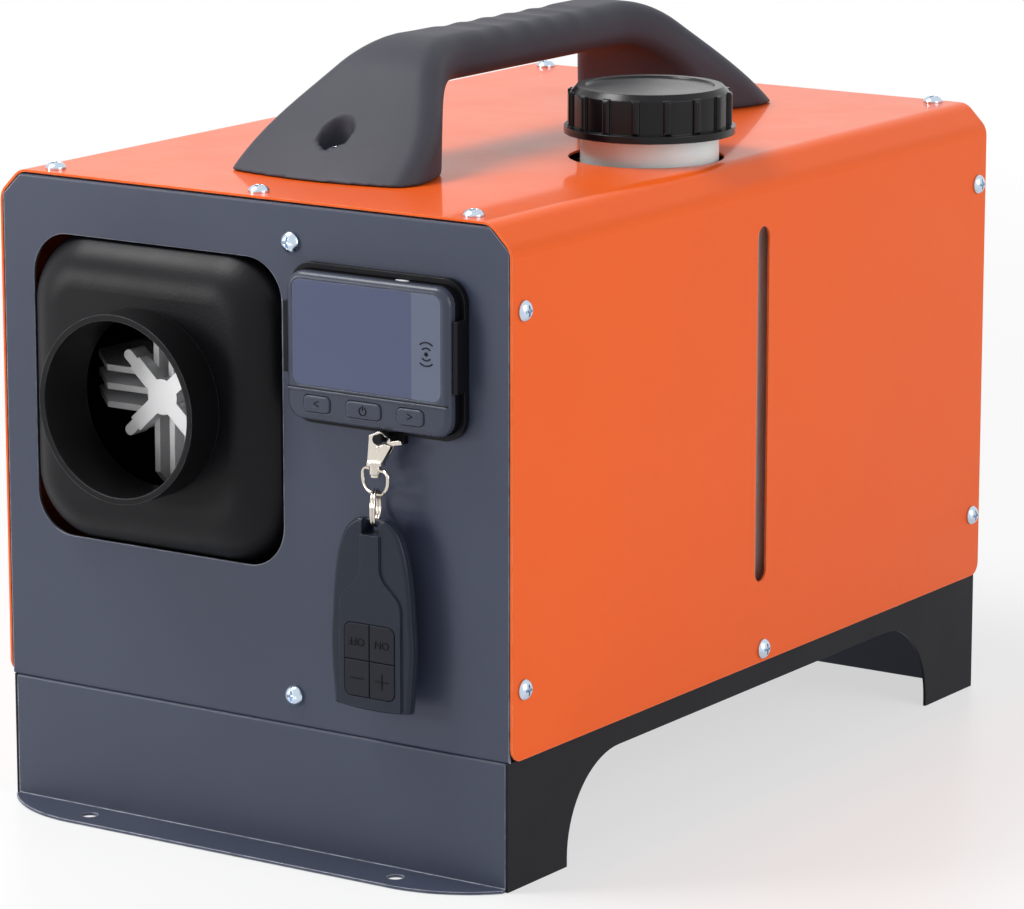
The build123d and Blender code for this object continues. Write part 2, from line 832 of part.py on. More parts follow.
def cap_profile():
    """Half section of the cap: lip, skirt, shoulder, dished roof and threaded bore."""
    bore = thread_ridge + thread_gap
    lip_top = cap_bottom + cap_lip_height
    dish = cap_top - cap_dish
    return make_face(Polyline(
        (bore, cap_bottom), (cap_lip_radius, cap_bottom), (cap_lip_radius, lip_top),
        (cap_radius, lip_top), (cap_radius, cap_top - cap_shoulder), (cap_radius - cap_shoulder, cap_top),
        (cap_dish_radius, cap_top), (cap_dish_radius - cap_dish, dish), (0, dish),
        (0, cap_roof_z), (bore, cap_roof_z), close=True))


def filler_cap():
    """Screw cap with grip ribs round its skirt."""
    body = revolve(Plane.XZ * cap_profile(), Axis.Z)
    low = cap_bottom + cap_lip_height
    height = cap_top - cap_rib_top - low
    rib = Box(3, cap_rib_width, height)
    outer_edges = [e for e in rib.edges() if e.center().X > 1]
    rib = Pos(cap_rib_radius - 1.5, 0, low + height / 2) * fillet(outer_edges, cap_rib_edge)
    for i in range(cap_ribs):
        body += Rot(0, 0, i * 360 / cap_ribs) * rib
    return Pos(neck_x, neck_y, 0) * body


def cap_gasket():
    return pipe(gasket_outer, gasket_bore, (neck_x, neck_y, gasket_z),
                (neck_x, neck_y, gasket_z + gasket_thickness))


# ---------------------------------------------------------------- fuel line
def fuel_pickup():
    """Bulkhead nipple in the tank's rear wall, with a standpipe and strainer inside."""
    wall = tank_length / 2
    inside = wall - tank_wall
    drop = wall - pickup_depth
    tip = pickup_shoulder + nipple_length
    low = base_height + tank_wall + strainer_gap
    body = bar_y(pickup_flange, tank_middle, line_z, wall, pickup_shoulder)
    body += bar_y(nipple_radius, tank_middle, line_z, pickup_shoulder - 1, tip)
    body += bar_y(pickup_shank, tank_middle, line_z, drop, wall + 1)
    body += bar_y(pickup_flange, tank_middle, line_z, inside - pickup_flange_sheet, inside)
    body += bar_z(pickup_shank, tank_middle, drop, low, line_z)
    body += Pos(tank_middle, drop, line_z) * Sphere(pickup_shank)
    body += bar_z(strainer_radius, tank_middle, drop, low, low + strainer_height)
    body -= bar_y(nipple_bore, tank_middle, line_z, drop, tip + 1)
    return body - bar_z(nipple_bore, tank_middle, drop, low - 1, line_z)


def hose(points, turn=hose_turn):
    """A fuel hose along straight runs with wide bends."""
    path = FilletPolyline(*points, radius=turn)
    start = Plane(origin=path @ 0, z_dir=path % 0)
    return sweep(start * (Circle(hose_radius) - Circle(hose_bore)), path=path)


def fuel_hose_tank():
    start = pickup_shoulder + hose_end
    return hose([(tank_middle, start, line_z), (tank_middle, line_y, line_z),
                 (filter_x + hose_end, line_y, line_z)], pickup_turn)


def fuel_filter():
    """In-line filter bowl with a nipple at each end."""
    left = filter_x - filter_length
    body = bar_x(filter_radius, line_y, line_z, left, filter_x)
    body = fillet(body.edges(), 2)
    inner = filter_radius - filter_wall
    body -= bar_x(inner, line_y, line_z, left + filter_wall, filter_x - filter_wall)
    body += bar_x(nipple_radius, line_y, line_z, left - nipple_length, left + 1)
    body += bar_x(nipple_radius, line_y, line_z, filter_x - 1, filter_x + nipple_length)
    reach = nipple_length + 1
    return body - bar_x(nipple_bore, line_y, line_z, left - reach, filter_x + reach)


def fuel_hose_filter():
    return hose([(filter_x - filter_length - hose_end, line_y, line_z), (pump_x, line_y, line_z),
                 (pump_x, pump_back + hose_end, line_z)])


def fuel_pump():
    """Metering pump: coil body, end fittings, nipples and the bore of its plunger."""
    fore = pump_back - pump_length
    body = bar_y(pump_radius, pump_x, line_z, fore + pump_end, pump_back - pump_end)
    body = fillet(body.edges(), 1.5)
    body += bar_y(pump_end_radius, pump_x, line_z, fore, pump_back)
    body += bar_y(nipple_radius, pump_x, line_z, fore - nipple_length, pump_back + nipple_length)
    reach = nipple_length + 1
    body -= bar_y(nipple_bore, pump_x, line_z, fore - reach, pump_back + reach)
    start = plunger_start - link_gap
    end = plunger_start + plunger_length + plunger_travel + link_gap
    return body - bar_y(plunger_radius + plunger_fit, pump_x, line_z, start, end)


def pump_plunger():
    return bar_y(plunger_radius, pump_x, line_z, plunger_start, plunger_start + plunger_length)


def pump_mount():
    """Rubber ring round the pump with a foot on the floor."""
    middle = pump_back - pump_length / 2
    start = middle - mount_width / 2
    outer = pump_radius + mount_wall
    half = mount_foot / 2
    body = bar_y(outer, pump_x, line_z, start, start + mount_width)
    body += block((pump_x - half, pump_x + half), (start, start + mount_width),
                  (base_height, line_z - outer + mount_wall))
    return body - bar_y(pump_radius + stub_fit, pump_x, line_z, start - 1, start + mount_width + 1)


def fuel_hose_heater():
    start = pump_back - pump_length - hose_end
    return hose([(pump_x, start, line_z), (pump_x, fuel_tube_y, line_z),
                 (pump_x, fuel_tube_y, fuel_tube_bottom + nipple_length)])


# ---------------------------------------------------------------- heater: stand and foot
def stud_places():
    rows = (foot_front + stud_front_inset, foot_back - stud_back_inset)
    return [(heater_x + side * stud_x, front + y) for side in (-1, 1) for y in rows]


def drilled(body, stub_gap, low, high):
    """The body with holes for the two stubs, the fuel tube and the four studs."""
    for radius, y in ((exhaust_radius, exhaust_y), (air_radius, air_y)):
        body -= bar_z(radius - stub_step + stub_gap, heater_x, y, low, high)
    body -= bar_z(fuel_tube_hole, fuel_tube_x, fuel_tube_y, low, high)
    for x, y in stud_places():
        body -= bar_z(stud_radius + stud_fit, x, y, low, high)
    return body


def heater_bracket():
    """Stand of the heater unit: a hat-shaped sheet on the floor."""
    left = heater_x - bracket_width / 2
    right = heater_x + bracket_width / 2
    span = (front + foot_front - bracket_overhang, front + foot_back + bracket_overhang)
    sheet = block((left, right), span, (bracket_top - bracket_sheet, bracket_top))
    foot = (base_height, base_height + bracket_sheet)
    for edge, inward in ((left, 1), (right, -1)):
        leg = sorted((edge, edge + inward * bracket_sheet))
        sheet += block(leg, span, (base_height, bracket_top))
        sheet += block(sorted((edge, edge + inward * bracket_foot)), span, foot)
    return drilled(sheet, bracket_clearance, bracket_top - 5, bracket_top + 5)


def mount_gasket():
    half = foot_width / 2
    sheet = block((heater_x - half, heater_x + half), (front + foot_front, front + foot_back),
                  (bracket_top, unit_lift))
    return drilled(sheet, stub_fit, bracket_top - 5, unit_lift + 5)


def heater_nuts():
    nut = hex_nut(heater_nut_radius, heater_nut_height, stud_radius + nut_fit)
    z = bracket_top - bracket_sheet - heater_nut_height
    return group([Pos(x, y, z) * nut for x, y in stud_places()])


def stub(radius, y):
    """Pipe down through the floor, stepped so that a hose seats on its lower end."""
    body = bar_z(radius, heater_x, y, stub_bottom, stub_shoulder)
    body += bar_z(radius - stub_step, heater_x, y, stub_bottom, foot_top - 1)
    return body - bar_z(radius - stub_wall, heater_x, y, stub_bottom - 1, foot_top)


# ---------------------------------------------------------------- heater: exchanger and burner
def star():
    """End boss of the exchanger in front view: four arms with narrow tips."""
    shape = Circle(star_hub)
    for lean in (star_lean, -star_lean):
        shape += Rot(0, 0, lean) * Rectangle(1.5 * star_span, star_arm)
        shape += Rot(0, 0, lean) * SlotOverall(2 * star_span, star_tip)
    return Pos(heater_x, heater_z) * shape


def fin(offset, turn, long_fin):
    """One cooling fin; turn 0 points up, 90 to the left, and so on."""
    face = front + (fin_front if long_fin else side_fin_front)
    rake = fin_reach - fin_upright
    bottom = fin_inner if long_fin else core_half - 1
    tip = front + fin_back
    side = [(face, bottom), (face, fin_upright), (face + rake, fin_reach), (tip, fin_reach),
            (tip, core_half - 1), (front + core_front + 1, core_half - 1),
            (front + core_front + 1, bottom)]
    if not long_fin:
        side = side[:5]
    sheet = from_left(make_face(Polyline(*side, close=True)), offset - fin_thickness / 2, fin_thickness)
    return Pos(heater_x, 0, heater_z) * Rot(0, turn, 0) * sheet


def heat_exchanger():
    """Die casting: star boss, finned core, foot plate with studs and the exhaust leg."""
    span = (front + core_front, front + core_back)
    body = block((heater_x - core_half, heater_x + core_half), span,
                 (heater_z - core_half, heater_z + core_half))
    body += from_front(star(), front + star_front, star_thickness)
    body += bar_y(star_post, heater_x, heater_z, front + star_front + 1, front + core_front + 1)
    fins = [fin(place * fin_spacing, turn, abs(place) <= 1) for turn in (0, 90, 180, 270)
            for place in (-3, -2, -1, 0, 1, 2, 3)]
    body = body.fuse(*fins)
    half = foot_width / 2
    body += block((heater_x - half, heater_x + half), (front + foot_front, front + foot_back),
                  (unit_lift, foot_top))
    leg = (foot_top - 1, heater_z - core_half + 1)
    body += bar_z(exhaust_radius + exhaust_leg_wall, heater_x, exhaust_y, *leg)
    web = (heater_x - fin_thickness * 2, heater_x + fin_thickness * 2)
    body += block(web, (exhaust_y, front + fin_back), leg)
    body -= bar_z(exhaust_radius - stub_wall, heater_x, exhaust_y, unit_lift - 1, heater_z)
    for radius, y in ((exhaust_radius, exhaust_y), (air_radius, air_y)):
        body -= bar_z(radius - stub_step + stub_fit, heater_x, y, unit_lift - 1, foot_top - 1)
    body -= bar_z(duct_bore, heater_x, air_y, unit_lift - 1, foot_top + 1)
    body -= bar_z(fuel_tube_hole, fuel_tube_x, fuel_tube_y, unit_lift - 1, foot_top + 1)
    body -= bar_y(core_bore, heater_x, heater_z, front + core_front + 6, front + core_back + 1)
    for x, y in stud_places():
        body += bar_z(stud_radius, x, y, unit_lift - stud_below, unit_lift + 1)
    return body


def burner_tube():
    """Combustion tube inside the exchanger, with its flange and the igniter's hole."""
    rear = front + housing_front
    body = bar_y(burner_radius, heater_x, heater_z, front + burner_front, rear)
    flange = front + core_back
    body += bar_y(burner_flange, heater_x, heater_z, flange, flange + burner_flange_sheet)
    body -= bar_y(burner_radius - burner_wall, heater_x, heater_z, front, rear + 1)
    return body - bar_z(plug_radius + plug_fit, heater_x, rear - core_gap + plug_setback, heater_z,
                        heater_z + 2 * burner_radius)


def glow_plug():
    """Igniter standing in the burner tube, with a hexagon head."""
    y = front + core_back + plug_setback
    low = heater_z + burner_radius - plug_sunk
    body = bar_z(plug_radius, heater_x, y, low, low + plug_length)
    head = hex_nut(plug_head, plug_head_height, plug_radius - 1)
    return body + Pos(heater_x, y, heater_z + burner_radius + 0.5) * head


def fan_housing():
    """Blower box of the burner, with its air duct and fuel tube reaching down."""
    face = front + housing_front
    rear = face + housing_depth
    body = bar_y(housing_radius, heater_x, heater_z, face, rear)
    bottom = heater_z - housing_radius + 5
    body += bar_z(duct_radius, heater_x, air_y, foot_top, bottom)
    tube_top = heater_z + housing_wall - sqrt(housing_radius ** 2 - fuel_tube_offset ** 2)
    body += bar_z(nipple_radius, fuel_tube_x, fuel_tube_y, fuel_tube_bottom, tube_top)
    inner = housing_radius - housing_wall
    body -= bar_y(inner, heater_x, heater_z, face + housing_wall, rear - housing_wall)
    body -= bar_z(duct_bore, heater_x, air_y, foot_top - 1, heater_z - housing_radius / 2)
    body -= bar_z(nipple_bore, fuel_tube_x, fuel_tube_y, fuel_tube_bottom - 1, tube_top + housing_wall)
    body -= bar_y(burner_inlet, heater_x, heater_z, face - 1, face + housing_wall + 1)
    return body - bar_y(housing_shaft_hole, heater_x, heater_z, rear - housing_wall - 1, rear + 1)


# ---------------------------------------------------------------- heater: motor and fans
def fan_motor():
    start = front + housing_front + housing_depth
    body = bar_y(motor_radius, heater_x, heater_z, start, start + motor_length)
    body = fillet(body.edges(), 2)
    low = heater_z + motor_radius - 1
    half = motor_terminal
    body += block((heater_x - half, heater_x + half), (start + 10, start + 10 + 2 * half), (low, low + 6))
    return body - bar_y(shaft_radius + shaft_fit, heater_x, heater_z, start - 1, start + motor_length + 1)


def motor_shaft():
    start = front + housing_front + shaft_inset
    return bar_y(shaft_radius, heater_x, heater_z, start, front + fan_front + fan_depth)


def hot_air_fan():
    """Axial fan: hub on the shaft and pitched blades."""
    start = front + fan_front
    middle = start + fan_depth / 2
    body = bar_y(fan_hub, heater_x, heater_z, start, start + fan_depth)
    body = fillet(body.edges(), 2)
    reach = fan_radius + 4 - fan_hub + 1
    blade = Rot(blade_pitch, 0, 0) * Box(reach, blade_chord, blade_sheet)
    for i in range(fan_blades):
        place = Pos(fan_hub - 1 + reach / 2, 0, 0) * blade
        body += Pos(heater_x, middle, heater_z) * (Rot(0, i * 360 / fan_blades, 0) * place)
    body = body & bar_y(fan_radius, heater_x, heater_z, start, start + fan_depth)
    return body - bar_y(shaft_radius + nut_fit, heater_x, heater_z, start - 1, start + fan_depth + 1)


def combustion_fan():
    """Radial fan of the burner: a disc with straight vanes."""
    start = front + housing_front + housing_wall + 3
    depth = burner_fan_depth
    disc = start + depth - burner_fan_disc
    body = bar_y(burner_fan_radius, heater_x, heater_z, disc, start + depth)
    body += bar_y(2.5 * shaft_radius, heater_x, heater_z, start + 1, start + depth)
    reach = burner_fan_radius - burner_inlet - 1
    vane = Box(reach, depth - 2, blade_sheet)
    for i in range(burner_fan_vanes):
        place = Pos(burner_inlet + reach / 2, 0, 0) * vane
        body += Pos(heater_x, start + depth / 2, heater_z) * (Rot(0, i * 360 / burner_fan_vanes, 0) * place)
    return body - bar_y(shaft_radius + nut_fit, heater_x, heater_z, start - 1, start + depth + 1)


# ---------------------------------------------------------------- heater: shells
def unit_section(shrink):
    return rounded(unit_width - 2 * shrink, unit_height - 2 * shrink, unit_corner - shrink,
                   (heater_x, heater_z))


def unit_tube():
    wall = unit_section(0) - unit_section(unit_wall)
    return from_front(wall, front + hood_back, unit_back - hood_back)


def board_places():
    half = board_width / 2 - 5
    return [(heater_x + side * half, front + board_front + y) for side in (-1, 1)
            for y in (5, board_length - 5)]


def case_upper():
    """Upper shell of the unit with four posts for the control board."""
    wide = (heater_x - unit_width, heater_x + unit_width)
    lower = block(wide, (front, back), (heater_z - unit_height, heater_z))
    shell = unit_tube() - lower
    roof = heater_z + unit_height / 2 - unit_wall
    for x, y in board_places():
        shell += bar_z(board_post, x, y, board_z + board_sheet, roof + 1)
    return shell


def case_lower():
    """Lower shell, open where the exchanger's foot stands through it."""
    wide = (heater_x - unit_width, heater_x + unit_width)
    upper = block(wide, (front, back), (heater_z, heater_z + unit_height))
    half = foot_width / 2 + case_clearance
    opening = block((heater_x - half, heater_x + half),
                    (front + foot_front - case_clearance, front + foot_back + case_clearance),
                    (unit_lift - 1, foot_top + case_clearance))
    return unit_tube() - upper - opening


def control_board():
    """Circuit board with a few tall parts on its underside."""
    x, y = heater_x, front + board_front + board_length / 2
    half = board_width / 2
    body = block((x - half, x + half), (y - board_length / 2, y + board_length / 2),
                 (board_z, board_z + board_sheet))
    for dx, dy, wide, deep in board_parts:
        part_y = (y + dy - deep / 2, y + dy + deep / 2)
        body += block((x + dx - wide / 2, x + dx + wide / 2), part_y, (board_z - board_part_height, board_z))
    return body


def pillow(size, corner, edge, start, end):
    """Square block with rounded long edges and a rounded front."""
    body = Pos(heater_x, (start + end) / 2, heater_z) * Box(size, end - start, size)
    body = fillet(body.edges().filter_by(Axis.Y), corner)
    return fillet(body.faces().sort_by(Axis.Y)[0].edges(), edge)


def outlet_hood():
    """Domed front of the unit: opens behind, with a collar against the two shells."""
    start = front + hood_front
    end = front + hood_back
    body = pillow(hood_size, hood_corner, hood_edge, start, end)
    body += from_front(unit_section(0), end - hood_collar, hood_collar)
    body -= pillow(hood_size - 2 * unit_wall, hood_corner - unit_wall, hood_edge - unit_wall,
                   start + unit_wall, end + 1)
    body -= from_front(unit_section(unit_wall), end - hood_collar + unit_wall, hood_collar)
    plug = outlet_radius - outlet_wall + plug_wall + stub_fit
    return body - bar_y(plug, heater_x, heater_z, start - 1, start + outlet_plug)


def outlet_nozzle():
    """Hot-air spigot that the duct goes over, with a plug into the hood."""
    rim = front - outlet_reach
    seat = front + hood_front
    bore = outlet_radius - outlet_wall
    body = bar_y(outlet_radius, heater_x, heater_z, rim, seat)
    body += bar_y(bore + plug_wall, heater_x, heater_z, seat - 1, seat + outlet_plug)
    return body - bar_y(bore, heater_x, heater_z, rim - 1, seat + outlet_plug + 1)


def intake_guard():
    """Intake funnel from the unit's back end to the rear panel, with a ring grille."""
    start = front + unit_back
    throat = front + guard_throat
    end = back + guard_stand
    round_end = rounded(2 * intake_radius, 2 * intake_radius, intake_radius - 0.05, (heater_x, heater_z))
    inner_size = intake_radius - guard_wall
    round_bore = rounded(2 * inner_size, 2 * inner_size, inner_size - 0.05, (heater_x, heater_z))
    outer = loft([Plane.XZ.offset(-start) * unit_section(0), Plane.XZ.offset(-throat) * round_end])
    inner = loft([Plane.XZ.offset(-start) * unit_section(unit_wall), Plane.XZ.offset(-throat) * round_bore])
    body = outer - inner
    body += pipe(intake_radius, inner_size, (heater_x, throat, heater_z), (heater_x, end, heater_z))
    grille = end - guard_depth
    for radius in (inner_size * 0.42, inner_size * 0.72):
        body += pipe(radius, radius - guard_bar, (heater_x, grille, heater_z), (heater_x, end, heater_z))
    body += bar_y(guard_hub, heater_x, heater_z, grille, end)
    for i in range(4):
        spoke = Box(2 * inner_size + 1, guard_depth, guard_bar)
        body += Pos(heater_x, end - guard_depth / 2, heater_z) * (Rot(0, i * 45, 0) * spoke)
    return body


def power_inlet():
    """Two-pole supply socket on the rear panel."""
    body = bar_y(inlet_flange, inlet_x, inlet_z, back, back + inlet_flange_sheet)
    body = fillet(body.edges().group_by(Axis.Y)[-1], 1)
    body += bar_y(inlet_body, inlet_x, inlet_z, back - inlet_length, back + 1)
    for x in (inlet_x - inlet_spread, inlet_x + inlet_spread):
        body -= bar_y(inlet_contact, x, inlet_z, back - inlet_length + 4, back + inlet_flange_sheet + 1)
    return body


# ---------------------------------------------------------------- controller
def controller_outline(grow):
    return rounded(controller_width + 2 * grow, controller_height + 2 * grow, controller_corner + grow,
                   (controller_x, controller_z))


def controller_cradle():
    """Tray on the front panel with two side clips, and the ledge and peg of the hook."""
    tray_front = front - cradle_depth
    body = from_front(controller_outline(cradle_margin), tray_front, cradle_depth)
    body -= from_front(controller_outline(cradle_fit), tray_front - 1, cradle_depth - cradle_back + 1)
    edge = controller_width / 2 + cradle_margin
    for side in (-1, 1):
        clip = sorted((controller_x + side * (edge - clip_sheet), controller_x + side * edge))
        body += block(clip, (front - clip_reach, front), (controller_z - clip_below, controller_z + clip_above))
    half = ledge_width / 2
    ledge_top = controller_low - cradle_margin + 0.5
    body += block((peg_x - half, peg_x + half), (tray_front, front), (controller_low - ledge_depth, ledge_top))
    tip = front - peg_end
    body += bar_y(peg_radius, peg_x, peg_z, tip, tray_front + 1)
    return body + bar_y(peg_knob, peg_x, peg_z, tip - peg_knob_length, tip)


def controller_rear_shell():
    start = front - controller_split
    end = front - cradle_back
    body = from_front(controller_outline(0), start, end - start)
    body -= from_front(controller_outline(-shell_wall), start - 1, end - start - shell_wall + 1)
    return body


def lens_outline(grow):
    return rounded(lens_width + 2 * grow, lens_height + 2 * grow, lens_corner + grow, (lens_x, lens_z))


def key_places():
    """Centre and width of the three keys, left to right."""
    return [(key_x - key_spacing, key_width), (key_x, key_power_width), (key_x + key_spacing, key_width)]


def controller_front_shell():
    """Front half: window for the lens, three key holes and a rounded front edge."""
    start = front - controller_front
    end = front - controller_split
    body = from_front(controller_outline(0), start, end - start)
    body = fillet(body.faces().sort_by(Axis.Y)[0].edges(), shell_edge)
    body -= from_front(controller_outline(-shell_wall), start + shell_wall + lens_sheet, end - start)
    body -= from_front(lens_outline(lens_gap), start - 1, lens_sheet + 1)
    body -= from_front(lens_outline(-lens_seat), start - 1, end - start)
    for x, width in key_places():
        hole = rounded(width + 2 * key_gap, key_height + 2 * key_gap, key_corner + key_gap, (x, key_z))
        body -= from_front(hole, start - 1, end - start)
    return body


def display_lens():
    return from_front(lens_outline(0), front - controller_front, lens_sheet)


def controller_key(x, width):
    """A key: cap through the front wall and the rim that holds it in."""
    face = front - controller_front
    wall = face + shell_wall + lens_sheet
    cap = rounded(width, key_height, key_corner, (x, key_z))
    body = from_front(cap, face - key_proud, wall - face + key_proud + link_gap + key_rim_depth)
    rim = rounded(width + 2 * key_rim, key_height + 2 * key_rim, key_corner + key_rim, (x, key_z))
    body += from_front(rim, wall + link_gap, key_rim_depth)
    return fillet(body.faces().sort_by(Axis.Y)[0].edges(), key_edge)


# ---------------------------------------------------------------- hook and rings
def hook_body_outline():
    """Front view about the chain's centre line: arm over the peg, jaw and tapered body."""
    top = jaw_z + jaw_radius
    middle = chain_offset
    shape = Pos(middle, jaw_z) * Circle(jaw_radius + jaw_crown)
    foot = collar_z + collar_height
    shape += make_face(Polyline((hook_foot_left, foot), (hook_left, jaw_z), (hook_left, top - 1),
                                (middle, top + jaw_crown), (hook_right - 1.6, jaw_z + 1.4),
                                (hook_right - 0.4, jaw_z - 2.4), (hook_foot_right, foot), close=True))
    open_side = middle + 8
    mouth = make_face(Polyline((middle, jaw_z - 0.9), (open_side, jaw_z - 2.4), (open_side, jaw_z + 1.5),
                               (middle, jaw_z + 1.5), close=True))
    return shape - Pos(middle, jaw_z) * Circle(jaw_radius) - mouth


def snap_hook():
    """Hook hanging on the peg, with rivet, collar and the post its swivel turns on."""
    half = hook_thickness / 2
    body = from_front(hook_body_outline(), -half, hook_thickness)
    body = body + bar_z(collar_radius, 0, 0, collar_z, collar_z + collar_height)
    gap = lever_tongue / 2 + lever_gap
    slot = (rivet_z - lever_eye - 2 * lever_gap, jaw_z - 0.5)
    body -= block((rivet_x - lever_eye - lever_gap, thumb_reach), (-gap, gap), slot)
    body += bar_y(rivet_radius, rivet_x, rivet_z, -half - rivet_head, half + rivet_head)
    under = barrel_top - barrel_height - link_gap
    body += bar_z(post_radius, 0, 0, under - 0.5, collar_z + 0.5)
    body += bar_z(head_radius, 0, 0, under - head_height, under)
    return Pos(chain_x, chain_plane, peg_z) * body


def hook_lever():
    """Gate of the hook: eye on the rivet, gate bar against the beak and a thumb tab."""
    right = chain_offset + jaw_radius + 0.5
    bar = Polyline((rivet_x, rivet_z), (right + 0.6, rivet_z + 0.8), (thumb_reach - 3, thumb_z - 0.9),
                   (thumb_reach, thumb_z - 0.4), (thumb_reach - 0.4, thumb_z + 0.9),
                   (thumb_reach - 2.4, thumb_z + 0.9), (right + 1.6, thumb_z + 0.1),
                   (right + 1.2, jaw_z + 1.0), (right, jaw_z + 1.0), (right, jaw_z - 1.3),
                   (rivet_x + 0.4, rivet_z + 1.3), close=True)
    shape = make_face(bar) + Pos(rivet_x, rivet_z) * Circle(lever_eye)
    shape -= Pos(rivet_x, rivet_z) * Circle(rivet_radius + rivet_fit)
    plate = from_front(shape, -lever_tongue / 2, lever_tongue)
    return Pos(chain_x, chain_plane, peg_z) * plate


def swivel_ring():
    """Barrel on the hook's post with a bent wire bow below it."""
    middle = barrel_top - barrel_height / 2
    half = swivel_half_width
    path = FilletPolyline((-1.6, 0, middle), (-half, 0, middle), (-half, 0, swivel_bottom),
                          (half, 0, swivel_bottom), (half, 0, middle), (1.6, 0, middle),
                          radius=(swivel_bend, swivel_bow, swivel_bow, swivel_bend))
    start = Plane(origin=path @ 0, z_dir=path % 0)
    body = sweep(start * Circle(ring_wire), path=path)
    body += bar_z(barrel_radius, 0, 0, barrel_top - barrel_height, barrel_top)
    body -= bar_z(post_radius + post_fit, 0, 0, barrel_top - barrel_height - 1, barrel_top + 1)
    return Pos(chain_x, chain_plane, peg_z) * Rot(0, 0, swivel_turn) * body


def split_ring():
    """Flat double coil of wire."""
    coil = Torus(split_inner + split_wire, split_wire)
    pair = Pos(0, 0, -split_pitch / 2) * coil + Pos(0, 0, split_pitch / 2) * coil
    return Pos(chain_x, chain_plane, peg_z + split_centre) * Rot(0, 0, split_turn) * Rot(0, 90, 0) * pair


# ---------------------------------------------------------------- fob
def fob_side():
    """Right-hand edge of the fob from the top corner to the bottom one."""
    return Spline((fob_top_half, fob_top), (fob_shoulder_half, fob_shoulder_z),
                  (fob_half_width, fob_widest_z), (fob_bottom_half, fob_bottom),
                  tangents=((1, -0.4), (-0.1, -1)))


def fob_outline():
    right = fob_side()
    bottom = ThreePointArc((fob_bottom_half, fob_bottom), (0, fob_bottom - fob_bulge),
                           (-fob_bottom_half, fob_bottom))
    top = Line((-fob_top_half, fob_top), (fob_top_half, fob_top))
    return make_face([top, right, bottom, mirror(right, Plane.YZ)])


def fob_notch(start, end):
    shape = Pos(0, (notch_floor + fob_top + 5) / 2) * Rectangle(notch_width, fob_top + 5 - notch_floor)
    return from_front(shape, start - 1, end - start + 2)


def strip_outline():
    """Raised centre strip: a neck that flares to the width of the key pad."""
    flare = [(strip_high, strip_flare_high), (strip_low, strip_flare_low)]
    right = Spline(*flare, tangents=((0, -1), (0, -1)), tangent_scalars=(1.2, 1.2))
    left = mirror(right, Plane.YZ)
    low = fob_bottom + 0.4
    lines = [Line((-strip_high, notch_floor), (strip_high, notch_floor)),
             Line((strip_high, notch_floor), flare[0]), right,
             Line(flare[1], (strip_low, low)), Line((strip_low, low), (-strip_low, low)),
             Line((-strip_low, low), (-strip_low, strip_flare_low)), left,
             Line((-strip_high, strip_flare_high), (-strip_high, notch_floor))]
    return make_face(lines)


def pad_outline(grow):
    return Pos(0, pad_low + pad_height / 2) * RectangleRounded(
        pad_width + 2 * grow, pad_height + 2 * grow, pad_corner + grow)


def placed_fob(body):
    return Pos(chain_x, front, peg_z) * body


def fob_front_shell():
    """Front half: raised strip and the opening of the key pad."""
    outer = from_front(fob_outline(), -fob_front, fob_front - fob_split)
    outer = fillet(outer.faces().sort_by(Axis.Y)[0].edges(), fob_edge)
    outer += from_front(strip_outline(), -fob_front - strip_proud, strip_proud + 0.5)
    outer -= from_front(pad_outline(pad_gap), -fob_front - strip_proud - 1, 10)
    return placed_fob(outer - fob_notch(-fob_front - 2, -fob_split))


def fob_rear_shell():
    """Rear half with the pin across the notch and the step behind the keys."""
    outer = from_front(fob_outline(), -fob_split, fob_split - fob_back)
    outer = chamfer(outer.faces().sort_by(Axis.Y)[-1].edges(), fob_taper)
    outer -= fob_notch(-fob_split, -fob_back)
    pressed = pad_depth + pad_travel - strip_proud
    outer -= from_front(pad_outline(pad_gap), -fob_front, pressed)
    pin = bar_x(fob_pin, -chain_y, fob_pin_z, -notch_width / 2 - 1, notch_width / 2 + 1)
    return placed_fob(outer + pin)


def fob_key(column, row):
    """One of the four keys; column -1 left, row -1 low."""
    middle = pad_low + pad_height / 2
    half_gap = pad_gap / 2
    quarter = block(sorted((column * half_gap, column * pad_width)), (-fob_front - 10, -fob_back),
                    sorted((middle + row * half_gap, middle + row * pad_height)))
    face = -fob_front - strip_proud - pad_proud
    sheet = from_front(pad_outline(0), face, pad_depth + pad_proud)
    key = sheet & quarter
    return placed_fob(fillet(key.faces().sort_by(Axis.Y)[0].edges(), pad_edge))


# ---------------------------------------------------------------- all the pieces
def export_all(parts):
    os.makedirs("parts", exist_ok=True)
    for name, shape in parts.items():
        export_step(shape, "parts/" + name + ".step")


def case_pieces():
    return {"cover": cover(), "front_panel": front_panel(), "rear_panel": rear_panel(),
            "base_channel": base_channel(), "base_side_left": base_side(-1),
            "base_side_right": base_side(1), "divider_plate": divider_plate(),
            "cover_screws": cover_screws(), "panel_screws": panel_screws(),
            "handle": handle(), "handle_screws": handle_screws(), "handle_nuts": handle_nuts()}


def fuel_pieces():
    return {"fuel_tank": fuel_tank(), "filler_cap": filler_cap(), "cap_gasket": cap_gasket(),
            "fuel_pickup": fuel_pickup(), "fuel_hose_tank": fuel_hose_tank(),
            "fuel_filter": fuel_filter(), "fuel_hose_filter": fuel_hose_filter(),
            "fuel_pump": fuel_pump(), "pump_plunger": pump_plunger(), "pump_mount": pump_mount(),
            "fuel_hose_heater": fuel_hose_heater()}


